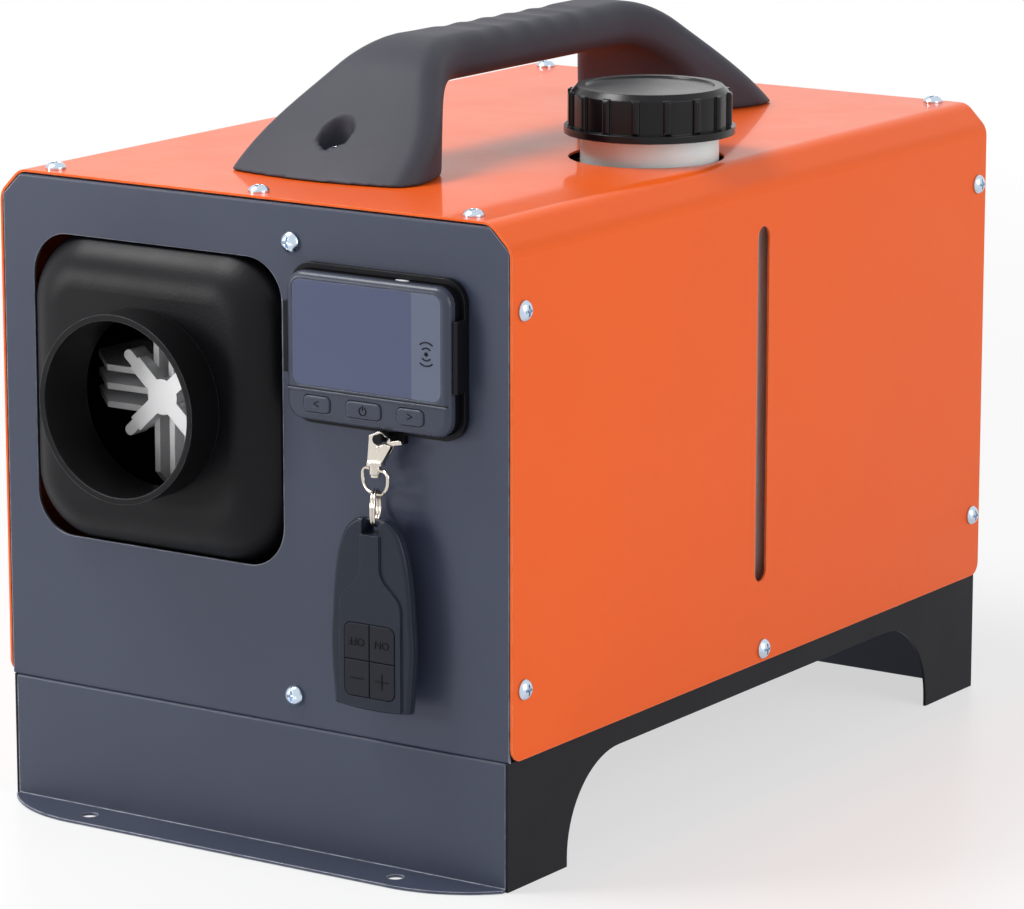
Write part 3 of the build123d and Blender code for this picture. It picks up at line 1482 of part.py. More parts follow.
def heater_pieces():
    return {"heater_bracket": heater_bracket(), "mount_gasket": mount_gasket(),
            "heater_nuts": heater_nuts(), "exhaust_stub": stub(exhaust_radius, exhaust_y),
            "combustion_air_stub": stub(air_radius, air_y), "heat_exchanger": heat_exchanger(),
            "burner_tube": burner_tube(), "glow_plug": glow_plug(), "fan_housing": fan_housing(),
            "fan_motor": fan_motor(), "motor_shaft": motor_shaft(), "hot_air_fan": hot_air_fan(),
            "combustion_fan": combustion_fan(), "case_upper": case_upper(), "case_lower": case_lower(),
            "control_board": control_board(), "outlet_hood": outlet_hood(),
            "outlet_nozzle": outlet_nozzle(), "intake_guard": intake_guard(),
            "power_inlet": power_inlet()}


def control_pieces():
    keys = [controller_key(x, width) for x, width in key_places()]
    return {"controller_cradle": controller_cradle(), "controller_rear_shell": controller_rear_shell(),
            "controller_front_shell": controller_front_shell(), "display_lens": display_lens(),
            "controller_button_left": keys[0], "controller_button_power": keys[1],
            "controller_button_right": keys[2], "snap_hook": snap_hook(), "hook_lever": hook_lever(),
            "swivel_ring": swivel_ring(), "split_ring": split_ring(),
            "fob_front_shell": fob_front_shell(), "fob_rear_shell": fob_rear_shell(),
            "fob_button_off": fob_key(-1, 1), "fob_button_on": fob_key(1, 1),
            "fob_button_minus": fob_key(-1, -1), "fob_button_plus": fob_key(1, -1)}


if __name__ == "__main__":
    export_all(case_pieces() | fuel_pieces() | heater_pieces() | control_pieces())
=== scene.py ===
"""Looks of a portable diesel air heater: finishes for its pieces, the finer pieces, stage and camera."""
import math

import bmesh
import bpy
from bpy.props import FloatProperty, FloatVectorProperty, PointerProperty
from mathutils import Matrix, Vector


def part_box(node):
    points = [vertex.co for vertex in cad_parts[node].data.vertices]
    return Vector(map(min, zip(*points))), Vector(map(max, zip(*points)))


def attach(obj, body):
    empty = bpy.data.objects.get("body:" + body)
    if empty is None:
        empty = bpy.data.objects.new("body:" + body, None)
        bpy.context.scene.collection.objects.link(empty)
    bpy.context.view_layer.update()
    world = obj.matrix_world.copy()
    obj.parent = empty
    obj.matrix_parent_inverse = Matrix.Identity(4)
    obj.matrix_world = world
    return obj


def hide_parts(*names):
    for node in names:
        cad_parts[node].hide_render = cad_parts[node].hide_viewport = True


bl_info = {
    "name": "Diesel Air Heater",
    "version": (1, 0, 0),
    "blender": (4, 5, 0),
    "location": "View3D > Sidebar > Heater",
    "description": "Finishes and fine pieces of a portable diesel air heater",
    "category": "Object",
}

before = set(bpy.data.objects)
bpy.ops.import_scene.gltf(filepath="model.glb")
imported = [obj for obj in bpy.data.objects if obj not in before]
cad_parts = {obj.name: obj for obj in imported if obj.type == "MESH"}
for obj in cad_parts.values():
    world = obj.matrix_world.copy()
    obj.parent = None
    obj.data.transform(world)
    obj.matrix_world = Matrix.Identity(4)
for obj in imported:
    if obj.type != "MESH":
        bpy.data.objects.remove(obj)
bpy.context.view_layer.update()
MM = 0.001

# Places and sizes of the fine pieces, in mm
SCREEN_END = 83.4          # x of the right edge of the lens's dark part
SCREEN_FADE = 0.1          # width of the change of tone there
SEAM_HEIGHT = 188.6        # z of the line between the controller's lens and keys
SEAM_WIDTH = 0.35
SEAM_DEPTH = 0.2
SEAM_INSET = 0.6           # from the shell's sides
RIDGE_DROP = 0.7           # below the seam
RIDGE_DEPTH = 0.7
RIDGE_HEIGHT = 0.9
RIDGE_INSET = 0.8
RIDGE_ROUNDING = 0.3
KEY_LETTER = 5.2
POWER_RADIUS = 1.6
POWER_STROKE = 0.42
POWER_GAP = [(60, 120)]    # degrees, open at the top
POWER_DROP = 0.2           # the ring's centre, below the key's
POWER_BAR = (POWER_STROKE, 0.18, 1.9)
POWER_BAR_PLACE = (-0.06, 1.1)    # y and z from the key's centre
WIRELESS_X = 90.3          # middle of the lens's strip
WIRELESS_Z = 207.7
WIRELESS_DOT = (0.42, 0.82)       # radius of the line and its width, which closes it
WIRELESS_STROKE = 0.5
WIRELESS_ARCS = (          # radius, and the degrees left open
    (2.4, [(-1, 40), (140, 220), (320, 361)]),
    (4.5, [(-1, 52), (128, 232), (308, 361)]),
)
OVAL_PLACE = (75.6, -187.4)
OVAL_HALF_LENGTH = 3.1
OVAL_HALF_WIDTH = 0.95
OVAL_HEIGHT = 0.3
FOB_LETTER = 4.3
FOB_RELIEF = 0.3
FOB_BAR = 6.2
FOB_STROKE = 0.55
FOB_BAR_LIFT = 0.02        # the bars' middle, ahead of the button
LIP_RADIUS = 0.9
LIP_INSET = 1.6            # the lip's middle line, inward from the nozzle's outside
LIP_WEAR = (0.12, 0.1)     # margin and depth of the worn spots on top of the lip
WAVES_EACH_WAY = 2         # finger waves before and behind the one in the middle
WAVE_REACH = 0.55          # how far a wave spreads, as a share of the pitch
GRIP_TOP = 4.0             # the waves touch only what is this near the top
WAVE_MIDDLE = 1.5          # half length of the row of vertices that is pushed down
VOXEL = 1.2                # mesh width of the remade handle
MERGE = 0.002              # vertices this near are one

# Stage, in metres
FLOOR_SIZE = 8.0
FLOOR_DROP = 0.0002        # the floor is this far under the flanges
FLOOR_TONE = 0.86
FLOOR_FADE = (0.35, 1.6)   # distances between which the floor turns as white as the background
FLOOR_WHITE = (0.62, 1.0)  # its share of that white at those distances
SENSOR = 36.0              # mm, width of the camera's sensor
NEAREST = 0.05             # the camera shows nothing nearer
LAMPS = {                  # place, point looked at, size, the setting with its power
    "lamp_above": ((-0.75, -0.55, 1.6), (0, 0, 0.2), (0.8, 0.7), "key_power"),
    "lamp_right": ((1.9, -0.2, 0.9), (0, 0, 0.15), (1.2, 1.4), "fill_power"),
    "lamp_left": ((-1.3, -1.5, 0.5), (0, -0.18, 0.17), (0.6, 0.6), "front_power"),
}


# ---------------------------------------------------------------- settings
def colour(name, default, description):
    return FloatVectorProperty(name=name, description=description, subtype="COLOR", size=3,
                               min=0.0, max=1.0, default=default)


def length(name, default, description):
    """A size given in millimetres and kept in metres."""
    return FloatProperty(name=name, description=description, default=default * MM, precision=5,
                         subtype="DISTANCE", unit="LENGTH")


class HEATER_PG_colours(bpy.types.PropertyGroup):
    orange: colour("Orange", (0.88, 0.112, 0.003), "Gloss enamel of the cover")
    slate: colour("Slate", (0.042, 0.051, 0.086), "Satin enamel of the front, rear and base")
    black: colour("Black", (0.008, 0.008, 0.011), "Enamel of the side plates")
    plastic: colour("Plastic", (0.0045, 0.0045, 0.0065), "Moulded black plastic")
    handle: colour("Handle", (0.042, 0.042, 0.056), "Grained plastic of the handle")
    fob: colour("Fob", (0.015, 0.020, 0.033), "Remote fob")
    milky: colour("Milky", (0.78, 0.80, 0.80), "Blown fuel tank")
    # Also colours the relief marks on the keys and fob near-black: painted shade standing in for the shade
    # of their relief.
    mark: colour("Marks", (0.004, 0.004, 0.006), "Printed marks on the lens")
    strip: colour("Lens Strip", (0.120, 0.142, 0.205), "Lighter strip at the right of the lens")
    screen: colour("Screen", (0.080, 0.094, 0.168), "Unlit display behind the lens")


class HEATER_PG_sizes(bpy.types.PropertyGroup):
    wave_pitch: length("Wave Pitch", 17.5, "Distance between the finger waves on the grip")
    wave_depth: length("Wave Depth", 0.6, "Depth of a finger wave")


class HEATER_PG_stage(bpy.types.PropertyGroup):
    azimuth: FloatProperty(name="Azimuth", description="Camera turn from straight ahead, to the right",
                           default=math.radians(33.86), subtype="ANGLE", unit="ROTATION")
    elevation: FloatProperty(name="Elevation", description="Camera height above the horizon",
                             default=math.radians(12.42), subtype="ANGLE", unit="ROTATION")
    distance: length("Distance", 2063.15, "Camera to the point it looks at")
    target: FloatVectorProperty(name="Target", description="Point in the middle of the picture",
                                subtype="XYZ", unit="LENGTH", default=(0.009357, -0.01476, 0.12687))
    lens: FloatProperty(name="Lens", description="Focal length", default=174.62, subtype="DISTANCE_CAMERA",
                        unit="CAMERA")
    world_light: FloatProperty(name="World Light", description="Strength of the even light", default=0.32)
    key_power: FloatProperty(name="Key Power", description="Watts of the lamp above and ahead", default=24.0)
    fill_power: FloatProperty(name="Fill Power", description="Watts of the lamp to the right", default=17.0)
    front_power: FloatProperty(name="Front Power", description="Watts of the small lamp at the front left",
                               default=13.0)


# ---------------------------------------------------------------- shader effects
def effect(name, inputs, outputs):
    """An empty node group with its sockets; returns the tree and its two end nodes."""
    tree = bpy.data.node_groups.new(name, "ShaderNodeTree")
    for label, kind, value in inputs:
        socket = tree.interface.new_socket(label, in_out="INPUT", socket_type="NodeSocket" + kind)
        if value is not None:
            socket.default_value = value
    for label, kind in outputs:
        tree.interface.new_socket(label, in_out="OUTPUT", socket_type="NodeSocket" + kind)
    return tree, tree.nodes.new("NodeGroupInput"), tree.nodes.new("NodeGroupOutput")


def add(tree, kind, settings=None, **values):
    """A node with attributes from settings and socket values or links from the keywords."""
    node = tree.nodes.new("ShaderNode" + kind)
    for key, value in (settings or {}).items():
        setattr(node, key, value)
    for key, value in values.items():
        connect(tree, node.inputs[int(key[1:]) if key[1:].isdigit() else key.replace("_", " ")], value)
    return node


def connect(tree, socket, value):
    if isinstance(value, bpy.types.NodeSocket):
        tree.links.new(value, socket)
    else:
        socket.default_value = value


def maths(tree, operation, a, b=0.0, clamp=False):
    return add(tree, "Math", {"operation": operation, "use_clamp": clamp}, _0=a, _1=b).outputs[0]


def noise(tree, vector, scale, detail, roughness):
    node = add(tree, "TexNoise", Vector=vector, Scale=scale, Detail=detail, Roughness=roughness)
    return node.outputs["Fac"]


def make_grain():
    """Fine moulded or sprayed texture: a height in metres."""
    tree, get, put = effect("Fine Grain", [("Vector", "Vector", None), ("Scale", "Float", 900.0),
                                           ("Detail", "Float", 3.0), ("Depth", "Float", 0.00002)],
                            [("Height", "Float")])
    fine = noise(tree, get.outputs["Vector"], get.outputs["Scale"], get.outputs["Detail"], 0.6)
    tree.links.new(maths(tree, "MULTIPLY", fine, get.outputs["Depth"]), put.inputs["Height"])
    return tree


def make_drift():
    """Slow change of tone over a surface."""
    tree, get, put = effect("Tone Drift", [("Vector", "Vector", None), ("Color", "Color", None),
                                           ("Scale", "Float", 12.0), ("Amount", "Float", 0.08)],
                            [("Color", "Color")])
    slow = noise(tree, get.outputs["Vector"], get.outputs["Scale"], 4.0, 0.55)
    shift = maths(tree, "MULTIPLY", maths(tree, "SUBTRACT", slow, 0.5), get.outputs["Amount"])
    factor = maths(tree, "ADD", maths(tree, "MULTIPLY", shift, 2.0), 1.0)
    scaled = add(tree, "VectorMath", {"operation": "SCALE"}, _0=get.outputs["Color"], Scale=factor)
    tree.links.new(scaled.outputs[0], put.inputs["Color"])
    return tree


def make_smear():
    """Roughness that varies as handled and wiped surfaces do."""
    tree, get, put = effect("Smear", [("Vector", "Vector", None), ("Scale", "Float", 25.0),
                                      ("Low", "Float", 0.3), ("High", "Float", 0.4)],
                            [("Roughness", "Float")])
    patch = noise(tree, get.outputs["Vector"], get.outputs["Scale"], 5.0, 0.6)
    ranged = add(tree, "MapRange", Value=patch, From_Min=0.3, From_Max=0.7,
                 To_Min=get.outputs["Low"], To_Max=get.outputs["High"])
    tree.links.new(ranged.outputs[0], put.inputs["Roughness"])
    return tree


def make_rub():
    """Lighter edges where the rounded normal leaves the true one: partly worn paint, partly a painted
    highlight along the edges.
    """
    tree, get, put = effect("Edge Rub", [("Vector", "Vector", None), ("Color", "Color", None),
                                         ("Rub Color", "Color", None), ("Amount", "Float", 0.5),
                                         ("Width", "Float", 0.0006)],
                            [("Color", "Color"), ("Mask", "Float"), ("Normal", "Vector")])
    soft = add(tree, "Bevel", {"samples": 6}, Radius=get.outputs["Width"])
    true = tree.nodes.new("ShaderNodeNewGeometry").outputs["Normal"]
    facing = add(tree, "VectorMath", {"operation": "DOT_PRODUCT"}, _0=soft.outputs[0], _1=true)
    edge = add(tree, "MapRange", Value=facing.outputs["Value"], From_Min=0.98, From_Max=0.80, To_Min=0.0,
               To_Max=1.0).outputs[0]
    patchy = add(tree, "MapRange", Value=noise(tree, get.outputs["Vector"], 160.0, 4.0, 0.6),
                 From_Min=0.35, From_Max=0.6, To_Min=0.35, To_Max=1.0).outputs[0]
    mask = maths(tree, "MULTIPLY", maths(tree, "MULTIPLY", edge, patchy), get.outputs["Amount"], True)
    mixed = add(tree, "Mix", {"data_type": "RGBA"}, _0=mask, _6=get.outputs["Color"],
                _7=get.outputs["Rub Color"])
    tree.links.new(mixed.outputs[2], put.inputs["Color"])
    tree.links.new(mask, put.inputs["Mask"])
    tree.links.new(soft.outputs[0], put.inputs["Normal"])
    return tree


def make_brushing():
    """Fine lines left by rolling, turning or polishing; the stretch squeezes the pattern along an axis."""
    tree, get, put = effect("Brushing", [("Vector", "Vector", None), ("Stretch", "Vector", None),
                                         ("Depth", "Float", 0.00001)],
                            [("Height", "Float")])
    squeezed = add(tree, "VectorMath", {"operation": "MULTIPLY"}, _0=get.outputs["Vector"],
                   _1=get.outputs["Stretch"])
    line = noise(tree, squeezed.outputs[0], 1.0, 4.0, 0.65)
    tree.links.new(maths(tree, "MULTIPLY", line, get.outputs["Depth"]), put.inputs["Height"])
    return tree


EFFECTS = {}


def use(tree, name, **values):
    """One of the shared effects placed in a material."""
    node = tree.nodes.new("ShaderNodeGroup")
    node.node_tree = EFFECTS[name]
    for key, value in values.items():
        connect(tree, node.inputs[key.replace("_", " ")], value)
    return node


def rgba(value):
    return (*value, 1.0)


# ---------------------------------------------------------------- finishes
def finish(name, tone, rough=(0.3, 0.4), metallic=0.0, coat=0.0, coat_rough=0.05, grain=(900.0, 0.02),
           drift=0.08, rub=None, rub_amount=0.5, rub_width=0.5, specular=0.5, stretch=None, **extra):
    """A painted, moulded or metal surface; grain is (scale, depth in mm)."""
    material = bpy.data.materials.new(name)
    material.use_nodes = True
    tree = material.node_tree
    shader = tree.nodes["Principled BSDF"]
    place = tree.nodes.new("ShaderNodeTexCoord").outputs["Object"]
    drifted = use(tree, "drift", Vector=place, Color=rgba(tone), Scale=14.0, Amount=drift)
    # lighter edge colour: partly wear, partly a painted highlight along the edges
    rubbed = use(tree, "rub", Vector=place, Color=drifted.outputs[0], Rub_Color=rgba(rub or tone),
                 Amount=rub_amount if rub else 0.0, Width=rub_width * MM)
    smear = use(tree, "smear", Vector=place, Scale=30.0, Low=rough[0], High=rough[1])
    if stretch:
        height = use(tree, "brushing", Vector=place, Stretch=stretch, Depth=grain[1] * MM).outputs["Height"]
    else:
        height = use(tree, "grain", Vector=place, Scale=grain[0], Detail=3.0, Depth=grain[1] * MM).outputs[0]
    bump = add(tree, "Bump", Strength=1.0, Distance=1.0, Height=height, Normal=rubbed.outputs["Normal"])
    connect(tree, shader.inputs["Base Color"], rubbed.outputs["Color"])
    connect(tree, shader.inputs["Roughness"], smear.outputs[0])
    connect(tree, shader.inputs["Normal"], bump.outputs[0])
    fixed = {"Metallic": metallic, "Coat Weight": coat, "Coat Roughness": coat_rough,
             "Specular IOR Level": specular} | extra
    for socket, value in fixed.items():
        shader.inputs[socket].default_value = value
    return material


def make_lens(screen, strip):
    """Clear front over the unlit display, with the lighter strip at its right."""
    material = finish("lens", screen, (0.16, 0.22), grain=(500.0, 0.001), drift=0.05, specular=0.25)
    tree = material.node_tree
    place = tree.nodes.new("ShaderNodeTexCoord").outputs["Object"]
    across = add(tree, "SeparateXYZ", _0=place).outputs["X"]
    edge = add(tree, "MapRange", Value=across, From_Min=SCREEN_END * MM,
               From_Max=(SCREEN_END + SCREEN_FADE) * MM).outputs[0]
    drifted = next(n for n in tree.nodes if n.type == "GROUP" and n.node_tree == EFFECTS["drift"])
    mixed = add(tree, "Mix", {"data_type": "RGBA"}, _0=edge, _6=rgba(screen), _7=rgba(strip))
    tree.links.new(mixed.outputs[2], drifted.inputs["Color"])
    return material


FINISHES = {}


class HEATER_OT_finishes(bpy.types.Operator):
    """Make every paint, plastic, rubber and metal"""
    bl_idname = "heater.finishes"
    bl_label = "Finishes"

    def execute(self, context):
        tone = context.scene.heater_colours
        EFFECTS.update(grain=make_grain(), drift=make_drift(), smear=make_smear(), rub=make_rub(),
                       brushing=make_brushing())
        # The lighter edge colours given below are partly wear and partly painted highlights along the edges
        # and rims.
        FINISHES.update(
            orange=finish("orange enamel", tone.orange, (0.34, 0.42), coat=0.45, coat_rough=0.06,
                          specular=0.12, grain=(420.0, 0.010), drift=0.03, rub=(0.95, 0.55, 0.35),
                          rub_amount=0.7, **{"Coat IOR": 1.28}),
            slate=finish("slate enamel", tone.slate, (0.30, 0.38), specular=0.34,
                         grain=(1500.0, 0.008), rub=(0.55, 0.58, 0.66), rub_amount=1.0, rub_width=0.8),
            black=finish("black enamel", tone.black, (0.42, 0.5), grain=(1400.0, 0.012), specular=0.12,
                         rub=(0.08, 0.08, 0.09)),
            sheet=finish("plated sheet", (0.60, 0.60, 0.58), (0.32, 0.42), 1.0, stretch=(40.0, 900.0, 900.0),
                         grain=(0.0, 0.006)),
            zinc=finish("zinc plating", (0.56, 0.66, 0.78), (0.16, 0.26), 1.0, grain=(2200.0, 0.008),
                        rub=(0.85, 0.9, 0.95), rub_width=0.3),
            handle=finish("handle plastic", tone.handle, (0.48, 0.56), grain=(1500.0, 0.07), specular=0.22,
                          drift=0.10, rub=(0.07, 0.072, 0.085), rub_amount=0.4),
            plastic=finish("black plastic", tone.plastic, (0.30, 0.38), grain=(1800.0, 0.010), specular=0.14,
                           rub=(0.06, 0.06, 0.07), rub_amount=0.4),
            casing=finish("controller plastic", (0.040, 0.048, 0.074), (0.26, 0.34), grain=(1800.0, 0.008),
                          specular=0.3, rub=(0.22, 0.24, 0.29), rub_amount=0.7, rub_width=0.7),
            hood=finish("heat-proof plastic", (0.0035, 0.0035, 0.005), (0.36, 0.44), grain=(1100.0, 0.05),
                        specular=0.17, rub=(0.05, 0.05, 0.055), rub_amount=0.4),
            nozzle=finish("nozzle plastic", (0.0035, 0.0035, 0.004), (0.36, 0.44), grain=(900.0, 0.02),
                          specular=0.15, rub=(0.12, 0.125, 0.14), rub_amount=0.9, rub_width=0.7),
            cap=finish("cap plastic", (0.004, 0.004, 0.0055), (0.18, 0.26), specular=0.25,
                       grain=(900.0, 0.01), rub=(0.05, 0.05, 0.055), rub_amount=0.3),
            fob=finish("fob plastic", tone.fob, (0.32, 0.40), grain=(1800.0, 0.012), specular=0.18,
                       rub=(0.10, 0.11, 0.15), rub_amount=0.7, rub_width=0.35),
            fob_key=finish("fob rubber", (0.014, 0.015, 0.022), (0.48, 0.56), grain=(1500.0, 0.015),
                           specular=0.15, rub=(0.09, 0.10, 0.12), rub_amount=0.6, rub_width=0.25),
            # print on the lens, the dark seam line, and painted shade on the relief marks of the keys and
            # fob
            mark=finish("printed mark", tone.mark, (0.4, 0.5), grain=(1500.0, 0.004), specular=0.1),
            white=finish("white label", (0.80, 0.81, 0.83), (0.3, 0.4), grain=(1500.0, 0.004)),
            rubber=finish("rubber", (0.02, 0.02, 0.02), (0.6, 0.75), grain=(1200.0, 0.03)),
            fibre=finish("fibre sheet", (0.32, 0.29, 0.24), (0.8, 0.9), grain=(1500.0, 0.08), drift=0.3),
            cast=finish("cast aluminium", (0.95, 0.95, 0.96), (0.45, 0.6), 0.35, grain=(900.0, 0.05),
                        drift=0.12, rub=(0.9, 0.9, 0.9)),
            steel=finish("tube steel", (0.48, 0.46, 0.44), (0.28, 0.4), 1.0, stretch=(900.0, 900.0, 30.0),
                         grain=(0.0, 0.008), rub=(0.75, 0.74, 0.72)),
            board=finish("circuit board", (0.015, 0.11, 0.04), (0.3, 0.4), coat=0.4, drift=0.1),
            nickel=finish("bright nickel", (0.62, 0.57, 0.51), (0.12, 0.22), 1.0, grain=(700.0, 0.003),
                          drift=0.05, rub=(0.95, 0.94, 0.92), rub_width=0.25),
            lens=make_lens(tone.screen, tone.strip),
            milky=finish("blown plastic", tone.milky, (0.32, 0.42), grain=(400.0, 0.02), drift=0.05,
                         **{"Subsurface Weight": 0.35, "Subsurface Scale": 0.01}),
        )
        return {"FINISHED"}


CASE_FINISHES = {
    "cover": "orange", "front_panel": "slate", "rear_panel": "slate", "base_channel": "slate",
    "base_side_left": "black", "base_side_right": "black", "divider_plate": "sheet",
    "cover_screws": "zinc", "panel_screws": "zinc", "handle": "handle", "handle_screws": "zinc",
    "handle_nuts": "zinc",
}
FUEL_FINISHES = {
    "fuel_tank": "milky", "filler_cap": "cap", "cap_gasket": "rubber", "fuel_pickup": "plastic",
    "fuel_hose_tank": "rubber", "fuel_filter": "milky", "fuel_hose_filter": "rubber",
    "fuel_pump": "steel", "pump_plunger": "steel", "pump_mount": "rubber", "fuel_hose_heater": "rubber",
}
HEATER_FINISHES = {
    "heater_bracket": "sheet", "mount_gasket": "fibre", "heater_nuts": "zinc", "exhaust_stub": "steel",
    "combustion_air_stub": "steel", "heat_exchanger": "cast", "burner_tube": "steel",
    "glow_plug": "nickel", "fan_housing": "plastic", "fan_motor": "steel", "motor_shaft": "steel",
    "hot_air_fan": "plastic", "combustion_fan": "plastic", "case_upper": "plastic",
    "case_lower": "plastic", "control_board": "board", "outlet_hood": "hood",
    "outlet_nozzle": "nozzle", "intake_guard": "plastic", "power_inlet": "plastic",
}
CONTROL_FINISHES = {
    "controller_cradle": "plastic", "controller_rear_shell": "plastic",
    "controller_front_shell": "casing", "display_lens": "lens", "controller_button_left": "casing",
    "controller_button_power": "casing", "controller_button_right": "casing", "snap_hook": "nickel",
    "hook_lever": "nickel", "swivel_ring": "nickel", "split_ring": "nickel", "fob_front_shell": "fob",
    "fob_rear_shell": "fob", "fob_button_off": "fob_key", "fob_button_on": "fob_key",
    "fob_button_minus": "fob_key", "fob_button_plus": "fob_key",
}


class HEATER_OT_dress(bpy.types.Operator):
    """Give each carried-over solid its finish"""
    bl_idname = "heater.dress"
    bl_label = "Dress the Solids"

    def execute(self, context):
        for chosen in (CASE_FINISHES, FUEL_FINISHES, HEATER_FINISHES, CONTROL_FINISHES):
            for node, name in chosen.items():
                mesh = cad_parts[node].data
                mesh.materials.clear()
                mesh.materials.append(FINISHES[name])
        return {"FINISHED"}


# ---------------------------------------------------------------- modelling by operators
def start():
    """Object mode with nothing selected."""
    if bpy.context.object and bpy.context.object.mode != "OBJECT":
        bpy.ops.object.mode_set(mode="OBJECT")
    bpy.ops.object.select_all(action="DESELECT")


def choose(*objs):
    """Select these and nothing else, the last one active."""
    start()
    for obj in objs:
        obj.select_set(True)
    bpy.context.view_layer.objects.active = objs[-1]


def edit(obj, kind="FACE"):
    """Edit mode with nothing selected; returns the mesh as it is being edited."""
    choose(obj)
    bpy.ops.object.mode_set(mode="EDIT")
    bpy.ops.mesh.select_mode(type=kind)
    bpy.ops.mesh.select_all(action="DESELECT")
    return bmesh.from_edit_mesh(obj.data)


def pick(mesh, items, wanted):
    """Select the faces, edges or vertices that the test wants."""
    for item in items:
        item.select_set(wanted(item))
    mesh.select_flush_mode()


def modify(obj, kind, **settings):
    """Add a modifier and apply it."""
    choose(obj)
    modifier = obj.modifiers.new(kind.title(), kind)
    for key, value in settings.items():
        setattr(modifier, key, value)
    bpy.ops.object.modifier_apply(modifier=modifier.name)


def settle(obj, name, material, body, replaced=()):
    """Put the piece's place into its mesh and give it its name, finish and body."""
    choose(obj)
    bpy.ops.object.transform_apply(location=True, rotation=True, scale=True)
    obj.name = obj.data.name = name
    obj.data.materials.clear()
    obj.data.materials.append(FINISHES[material])
    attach(obj, body)
    if replaced:
        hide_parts(*replaced)
    start()
    return obj


def at(x, y, z):
    """Millimetres to metres."""
    return (x * MM, y * MM, z * MM)


def box_mm(node):
    return (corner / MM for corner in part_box(node))


def lettering(text, size, place, turn=0.0, thickness=0.15, swell=0.02):
    """Raised characters on a face that looks ahead; sizes in mm."""
    start()
    bpy.ops.object.text_add(location=at(*place), rotation=(math.pi / 2, turn, 0))
    obj = bpy.context.object
    obj.data.body = text
    obj.data.align_x = "CENTER"
    obj.data.align_y = "CENTER"
    obj.data.size = size * MM
    obj.data.extrude = thickness / 2 * MM
    obj.data.offset = swell * MM
    bpy.ops.object.convert(target="MESH")
    obj = bpy.context.object
    edit(obj)
    bpy.ops.mesh.select_all(action="SELECT")
    bpy.ops.mesh.remove_doubles(threshold=0.005 * MM)
    bpy.ops.object.mode_set(mode="OBJECT")
    return obj


def arc_mark(radius, width, place, gaps, thickness=0.15):
    """Ring of flat bar on a face that looks ahead, open over each (from, to) of degrees in gaps."""
    start()
    bpy.ops.mesh.primitive_circle_add(vertices=72, radius=(radius + width / 2) * MM, fill_type="NGON",
                                      location=at(*place), rotation=(math.pi / 2, 0, 0))
    obj = bpy.context.object
    edit(obj)
    bpy.ops.mesh.select_all(action="SELECT")
    bpy.ops.mesh.inset(thickness=width * MM)
    bpy.ops.mesh.delete(type="FACE")
    mesh = bmesh.from_edit_mesh(obj.data)

    def open_here(face):
        centre = face.calc_center_median()
        angle = math.degrees(math.atan2(centre.y, centre.x)) % 360
        return any(low <= angle <= high for low, high in gaps)
    pick(mesh, mesh.faces, open_here)
    bpy.ops.mesh.delete(type="FACE")
    bpy.ops.mesh.select_all(action="SELECT")
    bpy.ops.mesh.extrude_region_move(TRANSFORM_OT_translate={"value": (0, -thickness * MM, 0)})
    bpy.ops.mesh.select_all(action="SELECT")
    bpy.ops.mesh.normals_make_consistent(inside=False)
    bpy.ops.object.mode_set(mode="OBJECT")
    return obj


def bar_mark(size, place, bevel=0.06):
    """Small bar with rounded edges; sizes in mm."""
    start()
    bpy.ops.mesh.primitive_cube_add(size=1.0, location=at(*place), scale=at(*size))
    obj = bpy.context.object
    bpy.ops.object.transform_apply(location=False, rotation=False, scale=True)
    edit(obj)
    bpy.ops.mesh.select_all(action="SELECT")
    bpy.ops.mesh.bevel(offset=bevel * MM, segments=2, affect="EDGES")
    bpy.ops.object.mode_set(mode="OBJECT")
    return obj


def joined(*objs):
    """One piece of several, their places put into their meshes first."""
    for obj in objs:
        choose(obj)
        bpy.ops.object.transform_apply(location=True, rotation=True, scale=True)
    choose(*objs)
    bpy.ops.object.join()
    return bpy.context.object


def merged_copy(node):
    """The solid's own shape as a new piece, its loose triangles merged."""
    start()
    obj = bpy.data.objects.new(node + "_copy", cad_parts[node].data.copy())
    bpy.context.scene.collection.objects.link(obj)
    edit(obj, "VERT")
    bpy.ops.mesh.select_all(action="SELECT")
    bpy.ops.mesh.remove_doubles(threshold=MERGE * MM)
    bpy.ops.object.mode_set(mode="OBJECT")
    return obj


# ---------------------------------------------------------------- handle
class HEATER_OT_handle(bpy.types.Operator):
    """Carrying handle with shallow finger waves along the top of its grip"""
    bl_idname = "heater.handle"
    bl_label = "Handle"

    def execute(self, context):
        sizes = context.scene.heater_sizes
        obj = merged_copy("handle")
        modify(obj, "REMESH", mode="VOXEL", voxel_size=VOXEL * MM, use_smooth_shade=True)
        modify(obj, "SMOOTH", factor=0.5, iterations=4)
        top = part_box("handle")[1].z
        for step in range(-WAVES_EACH_WAY, WAVES_EACH_WAY + 1):
            y = step * sizes.wave_pitch
            mesh = edit(obj, "VERT")
            pick(mesh, mesh.verts,
                 lambda v: v.co.z > top - GRIP_TOP * MM and abs(v.co.y - y) < WAVE_MIDDLE * MM)
            bpy.ops.transform.translate(value=(0, 0, -sizes.wave_depth), use_proportional_edit=True,
                                        proportional_edit_falloff="SMOOTH",
                                        proportional_size=sizes.wave_pitch * WAVE_REACH)
        bpy.ops.object.mode_set(mode="OBJECT")
        settle(obj, "handle_moulding", "handle", "case", ["handle"])
        return {"FINISHED"}


